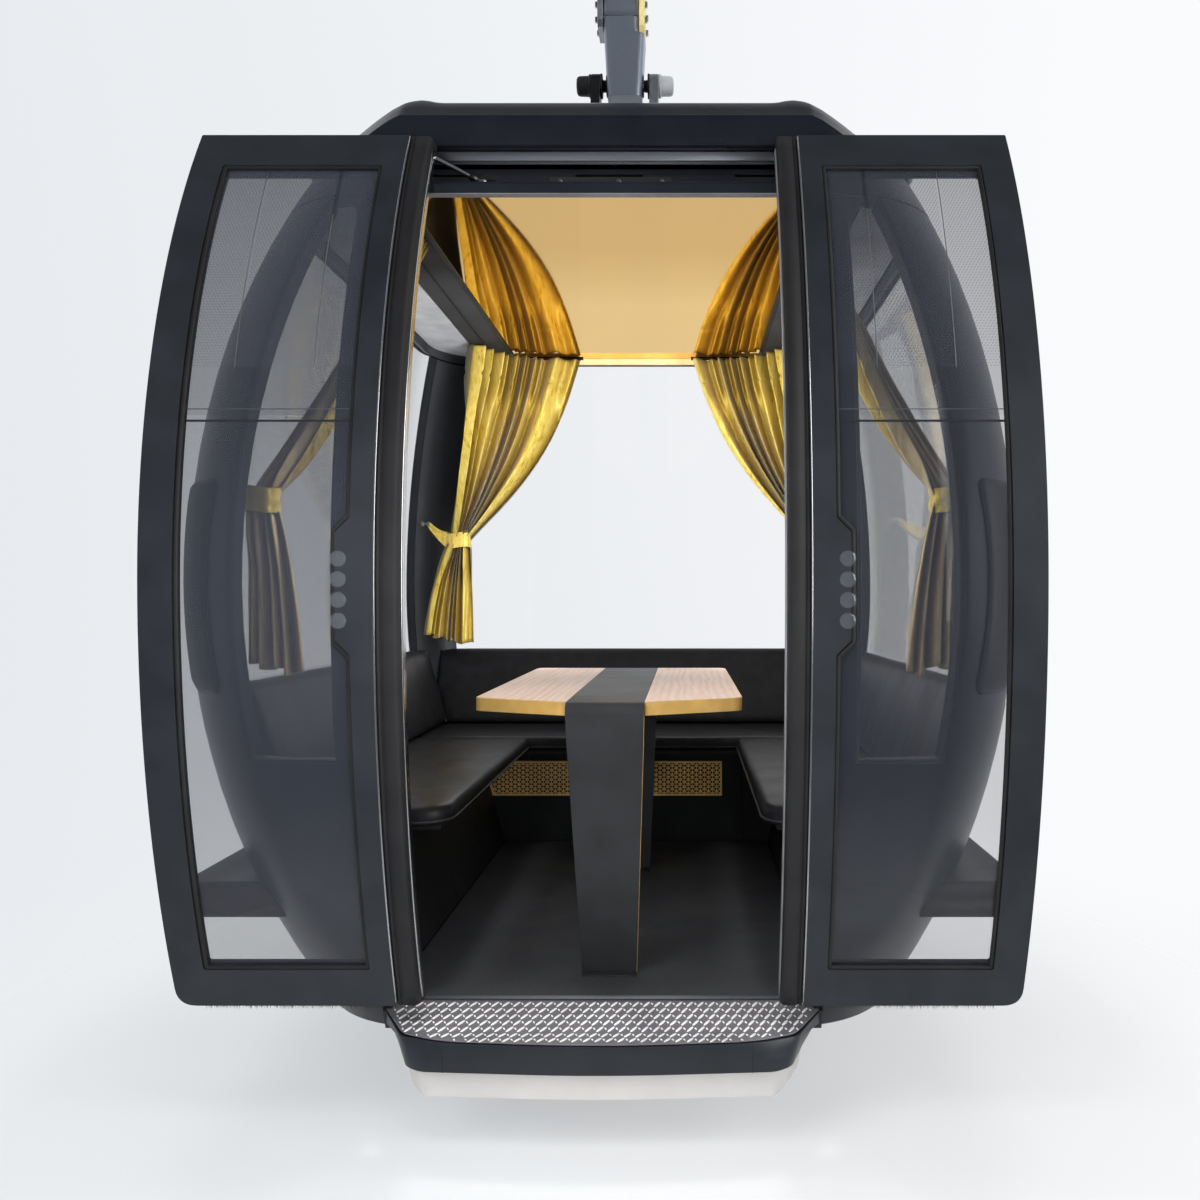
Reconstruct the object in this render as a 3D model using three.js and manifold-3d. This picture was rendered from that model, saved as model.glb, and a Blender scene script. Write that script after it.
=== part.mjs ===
// Lounge cabin of a monocable aerial tramway, with its hanger and rope grip.
// Millimetres, +Z up, X along the rope, -Y the door side. The origin is the rope's centre in the grip.
// Cabin pieces are built in the cabin's own frame, whose origin is the middle of the floor's top face,
// and a group places them under the rope.
import * as THREE from "three";
import { mergeVertices } from "three/addons/utils/BufferGeometryUtils.js";
import Module from "manifold-3d";

const wasm = await Module();
wasm.setup();

// ---------------------------------------------------------------- driving dimensions
const gap = 0.4; // between pieces that touch
const ropeAboveFloor = 4400;

// Body: a barrel, bulged both ways about its widest height.
const bulgeHeight = 1040;
const bodyLength = 2040; // along the rope, at the widest height
const bodyDepth = 2400; // from the door side to the rear
const frontRadius = { up: 2050, down: 2730 }; // bulge of the door side and the rear
const endRadius = { up: 3000, down: 2250 }; // bulge of the two ends
const cornerRadius = 300;
const wall = 45;
const levelStep = 190;
const cornerSteps = 6;

const bodyBottom = -60;
const windowSill = 740;
const frontSill = 620;
const roofRim = 1990;
const roofTop = 2270;
const roofShell = 40;
const fasciaTop = 2215; // where the fascias over the doorway and at the rear lean back
const crownLean = 43;
const roofCornerRadius = 260;
const ceilingHeight = 2000;
const ceilingThickness = 12;
const ceilingEndInset = 510; // from the body's widest end to the ceiling panel's end
const pillarWidth = 185;
const sideSplit = 300;
const glassInset = 12;
const glassThickness = 6;

// Doorway and door leaves, which stand open outboard of the body.
const doorwayHalf = 535;
const doorwayTop = 2140;
const jambWidth = 55;
const leafClearance = 30;
const leafThickness = 42;
const leafInner = 475;
const leafOuter = 990;
const leafBottom = 37;
const leafTop = 2137;
const leafCorner = 45;
const sealWidth = 50;
const leafWindow = { inner: 530, outer: 915, bottom: 133, top: 2040 };
const handle = { width: 32, bottom: 870, top: 1170 };

// Step at the doorway.
const stepTop = -20;
const stepDepth = 190;
const stepHalfBack = 525;
const stepHalfFront = 360;
const stepCorner = { x: 62, y: 75 };
const stepTaper = 18; // by which each side of the step's frame comes in at its foot
const skirtTaper = 45;
const treadThickness = 4;
const stepFrameBottom = -92;
const skirtBottom = -160;
const skirtInset = 30;
const underframeBottom = -150;

// Furniture. Seats are set out from the body's widest faces.
const seatTop = 470;
const seatThickness = 58;
const endSeatInset = 220; // from the body's end to the seat's back line
const endSeatDepth = 400;
const rearSeatInset = 258;
const rearSeatDepth = 405;
const benchEndInset = 322; // from the body's door side to the benches' near ends
const seatRound = 95;
const seatPan = 25;
const seatOverhang = 40; // of the cushion past the pan that carries it
const endBenchFoot = 537; // from the middle plane to the foot of the end benches' inner face
const endBenchLean = 0.267; // outward per unit of height
const rearBenchFoot = 800;
const backrestTop = 780;
const backrestLean = { end: 105, rear: 130 }; // of the front face over the backrest's height
const mitreGap = 3;
const grille = { right: 352, bottom: 190, top: 333, thickness: 8 };
const tableTop = 735;
const tableHalf = 350;
const tableBand = 98;
const tableLeafThickness = 35;
const tableFrontInset = 255; // from the body's door side
const tableRearGap = 97; // from the table's rear edge to the rear seat
const tableCorner = 40;

// Suspension.
const pinHeight = 2710;
const lugInner = 82;
const lugThickness = 30;
const lugRadius = 38;
const pinRadius = 19.5;
const capRadius = 31.5;
const capLength = 50;
const tubeFoot = 2655;
const tubeHead = 2910;
const tubeWidthFoot = 113;
const tubeWidthHead = 140;
const tubeCorner = 24;
const clampThickness = 18;
const clampRecess = 21; // let into the tube's side
const armWidth = 119;
const pivotRadius = 62;
const armOffset = 250; // from the rope to the hanger's head, towards the door side
const pivotDrop = 40; // from the rope down to the hanger's pivot

const ropeRadius = 25;
const wheelRadius = 80;
const wheelWidth = 44;
const wheelHeight = 110;
const gripTop = 140;
const springHeight = 182;
const springRadius = 34;
const jawHalf = 50;
const jawPin = { y: 58, z: 48, radius: 8 };
const wheelOuterY = -262;
const wheelInnerY = 104;

// ---------------------------------------------------------------- materials
const paint = (color, roughness, metalness, opacity = 1) =>
  new THREE.MeshStandardMaterial({
    color, roughness, metalness, opacity, transparent: opacity < 1,
  });
const finish = {
  blackPaint: paint(0x17191d, 0.3, 0.2),
  blackPlastic: paint(0x1c1d20, 0.55, 0),
  rubber: paint(0x101112, 0.8, 0),
  glass: paint(0x9aa0aa, 0.08, 0, 0.35),
  gold: paint(0xd8b36a, 0.25, 1),
  leather: paint(0x1d1d1f, 0.5, 0),
  curtain: paint(0xb59a2c, 0.6, 0),
  wood: paint(0xa98f74, 0.5, 0),
  steel: paint(0x8b9097, 0.4, 0.9),
  yellow: paint(0xe6cf6a, 0.5, 0.1),
  mat: paint(0x3a3b3e, 0.9, 0),
  tread: paint(0xa9adb2, 0.35, 0.9),
  pale: paint(0xd9dadc, 0.5, 0.3),
};

// ---------------------------------------------------------------- solids
const solid = (geometry) => {
  const bare = geometry.clone();
  bare.deleteAttribute("normal");
  bare.deleteAttribute("uv");
  const merged = mergeVertices(bare, 1e-3);
  return new wasm.Manifold(new wasm.Mesh({
    numProp: 3,
    vertProperties: new Float32Array(merged.attributes.position.array),
    triVerts: new Uint32Array(merged.index.array),
  }));
};

const geometryOf = (body) => {
  const { vertProperties, triVerts } = body.getMesh();
  const geometry = new THREE.BufferGeometry();
  geometry.setAttribute("position", new THREE.BufferAttribute(new Float32Array(vertProperties), 3));
  geometry.setIndex(new THREE.BufferAttribute(new Uint32Array(triVerts), 1));
  geometry.computeVertexNormals();
  return geometry;
};

const join = (...bodies) => bodies.reduce((sum, body) => sum.add(body));

const block = (x0, x1, y0, y1, z0, z1) =>
  solid(new THREE.BoxGeometry(x1 - x0, y1 - y0, z1 - z0)
    .translate((x0 + x1) / 2, (y0 + y1) / 2, (z0 + z1) / 2));

// A closed outline pulled along one axis; (u, v) is (x, y), (x, z) or (y, z).
const pulled = (outline, low, high) => {
  const shape = outline instanceof THREE.Shape ? outline : new THREE.Shape(outline);
  return new THREE.ExtrudeGeometry(shape, {
    depth: high - low, bevelEnabled: false, curveSegments: 6,
  }).translate(0, 0, low);
};
const alongZ = (outline, low, high) => solid(pulled(outline, low, high));
const alongY = (outline, low, high) =>
  solid(pulled(outline, -high, -low).rotateX(Math.PI / 2));
const alongX = (outline, low, high) =>
  solid(pulled(outline, low, high).applyMatrix4(
    new THREE.Matrix4().makeBasis(
      new THREE.Vector3(0, 1, 0), new THREE.Vector3(0, 0, 1), new THREE.Vector3(1, 0, 0))));

const at = (u, v) => new THREE.Vector2(u, v);
const polygon = (...pairs) => pairs.map(([u, v]) => at(u, v));
// An outline drawn on the +X side, for either side.
const mirrored = (points, side) => (side > 0 ? points : points.map((p) => at(-p.x, p.y)).reverse());

const roundRod = (radius, from, to, segments = 20) => {
  const start = new THREE.Vector3(...from);
  const run = new THREE.Vector3(...to).sub(start);
  const turn = new THREE.Quaternion().setFromUnitVectors(
    new THREE.Vector3(0, 1, 0), run.clone().normalize());
  const rod = new THREE.CylinderGeometry(radius, radius, run.length(), segments);
  rod.applyQuaternion(turn);
  return solid(rod.translate(...start.addScaledVector(run, 0.5).toArray()));
};

// A closed solid through plan sections of equal point counts, each { z, points }, lowest first.
const loft = (sections) => {
  const count = sections[0].points.length;
  const positions = sections.flatMap(({ z, points }) => points.flatMap((p) => [p.x, p.y, z]));
  const faces = [];
  for (let s = 0; s + 1 < sections.length; s += 1) {
    for (let i = 0; i < count; i += 1) {
      const next = (i + 1) % count;
      const a = s * count + i;
      const b = s * count + next;
      faces.push(a, b, b + count, a, b + count, a + count);
    }
  }
  const last = (sections.length - 1) * count;
  for (const [a, b, c] of THREE.ShapeUtils.triangulateShape(sections[0].points, []))
    faces.push(a, c, b);
  for (const [a, b, c] of THREE.ShapeUtils.triangulateShape(sections.at(-1).points, []))
    faces.push(last + a, last + b, last + c);
  const geometry = new THREE.BufferGeometry();
  geometry.setAttribute("position", new THREE.Float32BufferAttribute(positions, 3));
  geometry.setIndex(faces);
  return solid(geometry);
};

// ---------------------------------------------------------------- the barrel
const sag = (rise, radius) => radius - Math.sqrt(radius * radius - rise * rise);
const bulged = (half, z, radius) =>
  half - sag(z - bulgeHeight, z > bulgeHeight ? radius.up : radius.down);

// Every piece is faceted at the same heights, so that neighbours fit whatever part of the bulge they take.
const gridBottom = -300;
const gridIndex = (z) => Math.floor((z - gridBottom) / levelStep);
const gridHeight = (index) => gridBottom + index * levelStep;
const faceted = (half, radius) => (z) => {
  const low = gridHeight(gridIndex(z));
  const share = (z - low) / levelStep;
  return (1 - share) * bulged(half, low, radius) + share * bulged(half, low + levelStep, radius);
};
const endX = faceted(bodyLength / 2, endRadius);
const faceY = faceted(bodyDepth / 2, frontRadius);

const levels = (low, high) => {
  const between = [];
  for (let i = gridIndex(low) + 1; gridHeight(i) < high - 1e-6; i += 1) between.push(gridHeight(i));
  return [low, ...between, high];
};

const roundedRectangle = (halfX, halfY, radius, steps = cornerSteps) => {
  const points = [];
  for (const [signX, signY, start] of [[1, -1, -0.5], [1, 1, 0], [-1, 1, 0.5], [-1, -1, 1]]) {
    for (let i = 0; i <= steps; i += 1) {
      const angle = Math.PI * (start + (0.5 * i) / steps);
      points.push(at(
        signX * (halfX - radius) + radius * Math.cos(angle),
        signY * (halfY - radius) + radius * Math.sin(angle)));
    }
  }
  return points;
};

// The body's outer surface moved in by `inset`, between two heights.
const barrel = (inset, low, high) =>
  loft(levels(low, high).map((z) => ({
    z,
    points: roundedRectangle(endX(z) - inset, faceY(z) - inset, cornerRadius - inset),
  })));

const skin = (outerInset, innerInset, low, high) =>
  barrel(outerInset, low, high).subtract(barrel(innerInset, low - 10, high + 10));

// A region in front view between x = inner and an edge that follows the ends' bulge.
const frontBand = (side, inner, edgeInset, low, high) => {
  const heights = levels(low, high);
  const points = [
    ...heights.map((z) => at(side * (endX(z) - edgeInset), z)),
    at(side * inner, high), at(side * inner, low),
  ];
  return side > 0 ? points : points.reverse();
};

// A region in end view, |y| < faceY - edgeInset.
const endBand = (edgeInset, low, high) => {
  const heights = levels(low, high);
  return [
    ...heights.map((z) => at(faceY(z) - edgeInset, z)),
    ...heights.reverse().map((z) => at(edgeInset - faceY(z), z)),
  ];
};

const farOut = 1500; // beyond every body piece

// ---------------------------------------------------------------- body
const sideCut = (inset) =>
  join(
    alongX(endBand(sideSplit + inset, bodyBottom - 10, windowSill), -farOut, farOut),
    alongX(endBand(pillarWidth + inset, windowSill - 1, roofRim + 10), -farOut, farOut),
  );

// A raised pad on a corner pillar at the widest height.
const pad = { proud: 14, width: 115, fromPillar: 15, fromEnd: 170, bottom: 770, top: 1270 };
const rubPad = (signX, signY) => {
  const near = bodyDepth / 2 - pillarWidth + pad.fromPillar;
  const inner = bodyLength / 2 - pad.fromEnd;
  const region = block(...(signX > 0 ? [inner, farOut] : [-farOut, -inner]),
    ...(signY > 0 ? [near, near + pad.width] : [-near - pad.width, -near]), 0, farOut);
  return skin(-pad.proud, wall / 2, pad.bottom, pad.top).intersect(region);
};

const frontCorner = (side) => {
  const half = block(...(side > 0 ? [doorwayHalf, farOut] : [-farOut, -doorwayHalf]),
    -farOut, 0, bodyBottom - 10, roofRim);
  const window = alongY(
    frontBand(side, doorwayHalf + jambWidth, pillarWidth, frontSill, roofRim + 10), -farOut, 0);
  return skin(0, wall, bodyBottom, roofRim - gap).intersect(half)
    .subtract(sideCut(-gap)).subtract(window);
};

const rearWall = () => {
  const half = block(-farOut, farOut, 0, farOut, bodyBottom - 10, roofRim);
  const window = alongY(
    [...levels(windowSill, roofRim + 10).map((z) => at(endX(z) - pillarWidth, z)),
      ...levels(windowSill, roofRim + 10).reverse().map((z) => at(pillarWidth - endX(z), z))],
    0, farOut);
  return skin(0, wall, bodyBottom, roofRim - gap).intersect(half)
    .subtract(sideCut(-gap)).subtract(window);
};

const endPanel = (side) =>
  skin(0, wall, bodyBottom, windowSill - gap)
    .intersect(alongX(endBand(sideSplit, bodyBottom - 10, windowSill),
      ...(side > 0 ? [0, farOut] : [-farOut, 0])));

const glassSkin = (low) => skin(glassInset, glassInset + glassThickness, low, roofRim - gap);

const endWindow = (side) =>
  glassSkin(windowSill)
    .intersect(alongX(endBand(pillarWidth + gap, windowSill, roofRim),
      ...(side > 0 ? [0, farOut] : [-farOut, 0])));

const frontWindow = (side) =>
  glassSkin(frontSill + gap)
    .intersect(alongY(
      frontBand(side, doorwayHalf + jambWidth + gap, pillarWidth + gap, frontSill, roofRim),
      -farOut, 0));

const rearWindow = () =>
  glassSkin(windowSill + gap)
    .intersect(alongY(
      [...levels(windowSill, roofRim).map((z) => at(endX(z) - pillarWidth - gap, z)),
        ...levels(windowSill, roofRim).reverse().map((z) => at(pillarWidth + gap - endX(z), z))],
      0, farOut));

// Roof: a rim that carries the barrel on, and a crown with upright fascias and raised shoulders.
const eavesX = endX(doorwayTop);
const eavesY = faceY(doorwayTop) + 15;
const crownFoot = doorwayTop - 30;
const crownOutline = (drop) => { // x, z from the eaves to the flat top
  const half = polygon(
    [eavesX, crownFoot - drop], [eavesX - drop, doorwayTop - drop], [eavesX - 178, 2190 - drop],
    [eavesX - 262, 2245 - drop], [eavesX - 343, roofTop + 11 - drop], [eavesX - 388, roofTop - drop]);
  return [...half, ...half.map((p) => at(-p.x, p.y)).reverse()];
};

const crownTop = roofTop + 20;
const crown = (inset) => {
  const plan = (z, lean) => ({
    z, points: roundedRectangle(eavesX - inset, eavesY - lean - inset, roofCornerRadius - inset),
  });
  return loft([plan(crownFoot - inset, 0), plan(fasciaTop, 0), plan(crownTop, crownLean)])
    .intersect(alongY(crownOutline(inset), -farOut, farOut));
};

const roof = () => {
  const outer = join(barrel(0, roofRim, doorwayTop), crown(0));
  const inner = join(barrel(wall, roofRim - 10, doorwayTop), crown(roofShell));
  const doorway = block(-doorwayHalf, doorwayHalf, -farOut, -eavesY / 2, roofRim - 10, doorwayTop);
  return outer.subtract(inner).subtract(doorway);
};

const headerTop = ceilingHeight + 30;
const headerDepth = 38;
const headerBack = -(faceY(ceilingHeight) - wall);
const doorHeader = () =>
  block(gap - doorwayHalf, doorwayHalf - gap, headerBack - headerDepth, headerBack,
    ceilingHeight, headerTop);

const ceilingHalfLength = bodyLength / 2 - ceilingEndInset;
const ceilingPanel = () =>
  barrel(wall + 2, ceilingHeight, ceilingHeight + ceilingThickness)
    .intersect(block(-ceilingHalfLength, ceilingHalfLength, headerBack + gap, farOut, 0, farOut * 2));

// Dark liner between the bright ceiling panel and an end window.
const roofLiner = (side) => {
  const strip = side > 0 ? [ceilingHalfLength + gap, farOut] : [-farOut, -ceilingHalfLength - gap];
  return barrel(wall + 2, ceilingHeight, ceilingHeight + ceilingThickness)
    .intersect(block(...strip, -farOut, farOut, 0, farOut * 2));
};

// Door drive above the header: a guide rail, a drive plate, and the left leaf's push rod with its ball joint.
const drive = {
  railRadius: 12, railDrop: 18, plate: { left: -150, right: 162, bottom: 2047, top: 2075 },
  barHalf: 460, barBottom: 2060, hangerX: 440, hangerHalf: 12,
  joint: { x: -317, z: 2055, radius: 15, half: 14 }, rodEnd: { x: -452, z: 2108, radius: 9 },
  linkX: -140, linkRadius: 7,
};
const doorDrive = () => {
  const { plate, joint, rodEnd } = drive;
  const railY = -(faceY(fasciaTop) - roofShell + 40);
  const back = railY + 42;
  const railZ = doorwayTop - drive.railDrop;
  const rodY = railY - 15;
  const railEnd = doorwayHalf - gap;
  const rail = roundRod(drive.railRadius, [-railEnd, railY, railZ], [railEnd, railY, railZ], 12);
  const face = block(plate.left, plate.right, railY - 5, back, plate.bottom, plate.top);
  const bar = block(-drive.barHalf, drive.barHalf, back - 20, back, drive.barBottom, plate.top);
  const hangers = [-drive.hangerX, drive.hangerX].map((x) =>
    block(x - drive.hangerHalf, x + drive.hangerHalf, railY - 5, back, drive.barBottom, railZ));
  const leafFace = -(faceY(rodEnd.z) + leafClearance) + 1;
  const ball = [joint.x, rodY, joint.z];
  const rod = roundRod(rodEnd.radius, ball, [rodEnd.x, leafFace, rodEnd.z], 10);
  const link = roundRod(drive.linkRadius, [drive.linkX, railY, joint.z - 5], ball, 8);
  const socket = roundRod(joint.radius, [joint.x, rodY, joint.z - joint.half],
    [joint.x, rodY, joint.z + joint.half], 12);
  const leafSpace = leafSlab(-1, leafInner - sealWidth - gap, leafOuter,
    -leafThickness, leafThickness + gap, leafBottom, leafTop + leafThickness);
  return join(rail, face, bar, ...hangers, rod, link, socket).subtract(leafSpace);
};

// ---------------------------------------------------------------- door leaves
// A slab that follows the door side's bulge: `from` and `to` are measured in from the leaf's outer face.
const leafSlab = (side, inner, outer, from, to, bottom, top) => {
  const outerFace = leafClearance + leafThickness;
  const heights = levels(bottom, top);
  const profile = [
    ...heights.map((z) => at(-(faceY(z) + outerFace - to), z)),
    ...heights.reverse().map((z) => at(-(faceY(z) + outerFace - from), z)),
  ];
  return alongX(profile, ...(side > 0 ? [inner, outer] : [-outer, -inner]));
};

const leafShape = (side, from, to, grow = 0) =>
  leafSlab(side, leafInner + grow, leafOuter - grow, from + grow, to - grow,
    leafBottom + grow, leafTop - grow);

const leafOutline = (side) => {
  const shape = new THREE.Shape();
  shape.moveTo(leafInner, leafBottom);
  shape.lineTo(leafOuter - leafCorner, leafBottom);
  shape.absarc(leafOuter - leafCorner, leafBottom + leafCorner, leafCorner, -Math.PI / 2, 0);
  shape.lineTo(leafOuter, leafTop);
  shape.lineTo(leafInner, leafTop);
  return mirrored(shape.getPoints(5), side);
};

const leafOpening = (side, shrink = 0) => {
  const { inner, outer, bottom, top } = leafWindow;
  const step = inner + handle.width;
  const points = polygon(
    [inner + shrink, bottom + shrink], [outer - shrink, bottom + shrink],
    [outer - shrink, top - shrink], [inner + shrink, top - shrink],
    [inner + shrink, handle.top + shrink], [step + shrink, handle.top - handle.width + shrink],
    [step + shrink, handle.bottom + handle.width - shrink],
    [inner + shrink, handle.bottom - shrink]);
  return mirrored(points, side);
};

const leafFrame = (side) =>
  leafShape(side, 0, leafThickness)
    .intersect(alongY(leafOutline(side), -farOut, 0))
    .subtract(alongY(leafOpening(side), -farOut, 0));

const leafGlass = (side) =>
  leafSlab(side, leafWindow.inner, leafWindow.outer, 14, 20, leafWindow.bottom - 5, leafWindow.top + 5)
    .intersect(alongY(leafOpening(side, gap), -farOut, 0));

const sealStep = 12; // of the seal's front layer from its free edge
const leafSeal = (side) => {
  const strip = (setBack, from, to) => leafSlab(side, leafInner - sealWidth + setBack, leafInner - gap,
    from, to, leafBottom, leafTop - 2);
  return join(strip(0, 8, leafThickness), strip(sealStep, 2, leafThickness - 4));
};

// ---------------------------------------------------------------- floor, step and underframe
const floorPan = () => {
  const sill = barrel(0, bodyBottom, 0)
    .intersect(block(gap - doorwayHalf, doorwayHalf - gap, -farOut, 0, -farOut, farOut));
  return join(barrel(wall + gap, bodyBottom, 0), sill);
};

const matThickness = 4;
const floorMat = () =>
  barrel(wall + 3, gap, matThickness)
    .intersect(block(2 - endBenchFoot, endBenchFoot - 2, -farOut, rearBenchFoot - 2, 0, 2 * matThickness));

// Plan of the step, from the middle of its back edge outward; each layer has its own width and depth.
const stepBack = -(faceY(stepTop) + gap + 2);
const stepOutline = (halfBack, setBack) => {
  const front = stepBack - stepDepth + setBack;
  const half = polygon(
    [halfBack, stepBack], [halfBack - stepCorner.x, front + stepCorner.y],
    [stepHalfFront, front + 30], [0, front]);
  return [...half, ...half.slice(0, -1).map((p) => at(-p.x, p.y)).reverse()].reverse();
};

const stepTreadFoot = stepTop - treadThickness;
const stepFrame = () => loft([
  { z: stepFrameBottom, points: stepOutline(stepHalfBack - stepTaper, 0) },
  { z: stepTreadFoot - gap, points: stepOutline(stepHalfBack, 0) },
]);
const stepTread = () => alongZ(stepOutline(stepHalfBack - 3, 3), stepTreadFoot, stepTop);
const stepSkirt = () => loft([
  { z: skirtBottom, points: stepOutline(stepHalfBack - stepTaper - skirtTaper, skirtInset + 12) },
  { z: stepFrameBottom - gap, points: stepOutline(stepHalfBack - stepTaper, skirtInset) },
]);

const beam = { x: [-430, 430], half: 40, end: bodyDepth / 2 - 380 };
const tieBar = { y: [-beam.end + 200, 0, beam.end - 200], half: 35, end: 560, lift: 20 };
const underframe = () => {
  const top = bodyBottom - gap;
  const beams = beam.x.map((x) =>
    block(x - beam.half, x + beam.half, -beam.end, beam.end, underframeBottom, top));
  const ties = tieBar.y.map((y) => block(-tieBar.end, tieBar.end, y - tieBar.half, y + tieBar.half,
    underframeBottom + tieBar.lift, top));
  return join(...beams, ...ties);
};

const bumper = { reach: 12, half: bodyDepth / 2 - 200, round: 25, bottom: 217, top: 305, wrap: 260 };
const bumperFace = bodyLength / 2 + bumper.reach;
const endBumper = (side) => {
  const { half, round, bottom, top, wrap } = bumper;
  const outline = new THREE.Shape();
  outline.moveTo(bumperFace - wrap, -half);
  outline.lineTo(bumperFace - round, -half);
  outline.absarc(bumperFace - round, -half + round, round, -Math.PI / 2, 0);
  outline.lineTo(bumperFace, half - round);
  outline.absarc(bumperFace - round, half - round, round, 0, Math.PI / 2);
  outline.lineTo(bumperFace - wrap, half);
  return alongZ(mirrored(outline.getPoints(5), side), bottom, top)
    .subtract(barrel(-gap, bottom - 90, top + 90));
};

// ---------------------------------------------------------------- furniture
const seatBack = bodyLength / 2 - endSeatInset;
const seatFront = seatBack - endSeatDepth;
const rearSeatBack = bodyDepth / 2 - rearSeatInset;
const rearSeatFront = rearSeatBack - rearSeatDepth;
const benchEnd = -bodyDepth / 2 + benchEndInset;
const seatFoot = seatTop - seatThickness;
const panFoot = seatFoot - gap - seatPan;
const furnitureInset = wall + 5; // clear of the walls' inner faces
const insideWalls = barrel(furnitureInset, 0, 900);

// A bench box with a pan that reaches out under its cushion; the end benches' faces lean outward.
const benchFoot = gap + matThickness;
const leanAt = (z) => endBenchFoot + endBenchLean * (z - benchFoot);
const endBench = (side) => {
  const section = polygon(
    [endBenchFoot, benchFoot], [farOut, benchFoot], [farOut, seatFoot - gap],
    [seatFront + seatOverhang, seatFoot - gap], [seatFront + seatOverhang, panFoot],
    [leanAt(panFoot), panFoot]);
  return alongY(mirrored(section, side), benchEnd + seatRound, rearBenchFoot - gap)
    .intersect(insideWalls);
};

// The grille runs from the left end bench's leaning face.
const grilleOutline = (shrink) => {
  const { right, bottom, top } = grille;
  return polygon([-leanAt(bottom) + 1 + shrink, bottom + shrink], [right - shrink, bottom + shrink],
    [right - shrink, top - shrink], [-leanAt(top) + 1 + shrink, top - shrink]);
};

const rearBench = () => {
  const section = polygon(
    [rearBenchFoot, benchFoot], [farOut, benchFoot], [farOut, seatFoot - gap],
    [rearSeatFront + seatOverhang, seatFoot - gap], [rearSeatFront + seatOverhang, panFoot],
    [rearBenchFoot, panFoot]);
  const recess = alongY(grilleOutline(0), 0, rearBenchFoot + gap);
  const endBenchSpace = join(...[1, -1].map((side) => {
    const inner = seatFront + seatOverhang - gap;
    return block(...(side > 0 ? [inner, farOut] : [-farOut, -inner]), -farOut, rearBenchFoot, -10, 800);
  }));
  return alongX(section, -farOut, farOut).intersect(insideWalls)
    .subtract(endBenchSpace).subtract(recess);
};

const benchGrille = () =>
  alongY(grilleOutline(gap), rearBenchFoot - grille.thickness, rearBenchFoot);

const endSeat = (side) => {
  const shape = new THREE.Shape();
  shape.moveTo(farOut, benchEnd);
  shape.lineTo(farOut, rearSeatFront - gap);
  shape.lineTo(seatFront, rearSeatFront - gap);
  shape.lineTo(seatFront, benchEnd + seatRound);
  shape.absarc(seatFront + seatRound, benchEnd + seatRound, seatRound, Math.PI, Math.PI * 1.5);
  return alongZ(mirrored(shape.getPoints(5), side), seatFoot, seatTop).intersect(insideWalls);
};

const rearSeat = () =>
  block(-farOut, farOut, rearSeatFront, farOut, seatFoot, seatTop).intersect(insideWalls);

const backrestFoot = seatTop + gap;
const backrestWalls = barrel(wall + 8, 200, 900);
// The wedge behind the two mitred rear corners of the backrest.
const mitre = (back) => {
  const start = rearSeatBack - seatBack;
  return alongZ(polygon(
    [0, start + back], [farOut, start + farOut + back], [-farOut, start + farOut + back]), 0, 1000);
};
const endBackrest = (side) => {
  const section = mirrored(polygon(
    [seatBack, backrestFoot], [farOut, backrestFoot], [farOut, backrestTop],
    [seatBack + backrestLean.end, backrestTop]), side);
  return alongY(section, benchEnd + seatPan, farOut).intersect(backrestWalls).subtract(mitre(0));
};
const rearBackrest = () => {
  const section = polygon(
    [rearSeatBack, backrestFoot], [farOut, backrestFoot], [farOut, backrestTop],
    [rearSeatBack + backrestLean.rear, backrestTop]);
  return alongX(section, -farOut, farOut).intersect(backrestWalls).intersect(mitre(mitreGap));
};

const tableRear = rearSeatFront - tableRearGap;
const tableFront = -bodyDepth / 2 + tableFrontInset;
const tableLeaf = (side) => {
  const shape = new THREE.Shape();
  const inner = tableBand + gap;
  const outerFront = tableFront + 155;
  shape.moveTo(inner, tableRear);
  shape.lineTo(inner, tableFront + 30);
  shape.lineTo(tableHalf - tableCorner, outerFront);
  shape.quadraticCurveTo(tableHalf, outerFront + 15, tableHalf, outerFront + 60);
  shape.lineTo(tableHalf, tableRear - tableCorner);
  shape.absarc(tableHalf - tableCorner, tableRear - tableCorner, tableCorner, 0, Math.PI / 2);
  return alongZ(mirrored(shape.getPoints(5), side), tableTop - tableLeafThickness, tableTop);
};

// Folded plate: a band between the table leaves that bends down into a leg at each end.
const stand = { plate: 8, foot: 4 + gap, footHalf: 72, frontRake: 185, rearRake: 125, fold: 30 };
const tableStand = () => {
  const { plate, foot, footHalf, frontRake, rearRake, fold } = stand;
  const underside = tableTop - plate;
  const bend = tableTop - fold;
  const rear = tableRear + 25;
  const profile = polygon(
    [tableFront, bend], [tableFront + 15, tableTop], [rear - 15, tableTop], [rear, bend],
    [rear - rearRake, foot], [rear - rearRake - plate, foot], [rear - plate, bend - 3],
    [rear - 25, underside], [tableFront + 25, underside], [tableFront + plate, bend - 3],
    [tableFront + frontRake + plate, foot], [tableFront + frontRake, foot]);
  const front = polygon(
    [-footHalf, 0], [footHalf, 0], [tableBand, bend - 30], [tableBand, tableTop + 10],
    [-tableBand, tableTop + 10], [-tableBand, bend - 30]);
  return alongX(profile, -tableBand, tableBand).intersect(alongY(front, -farOut, farOut));
};

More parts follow.
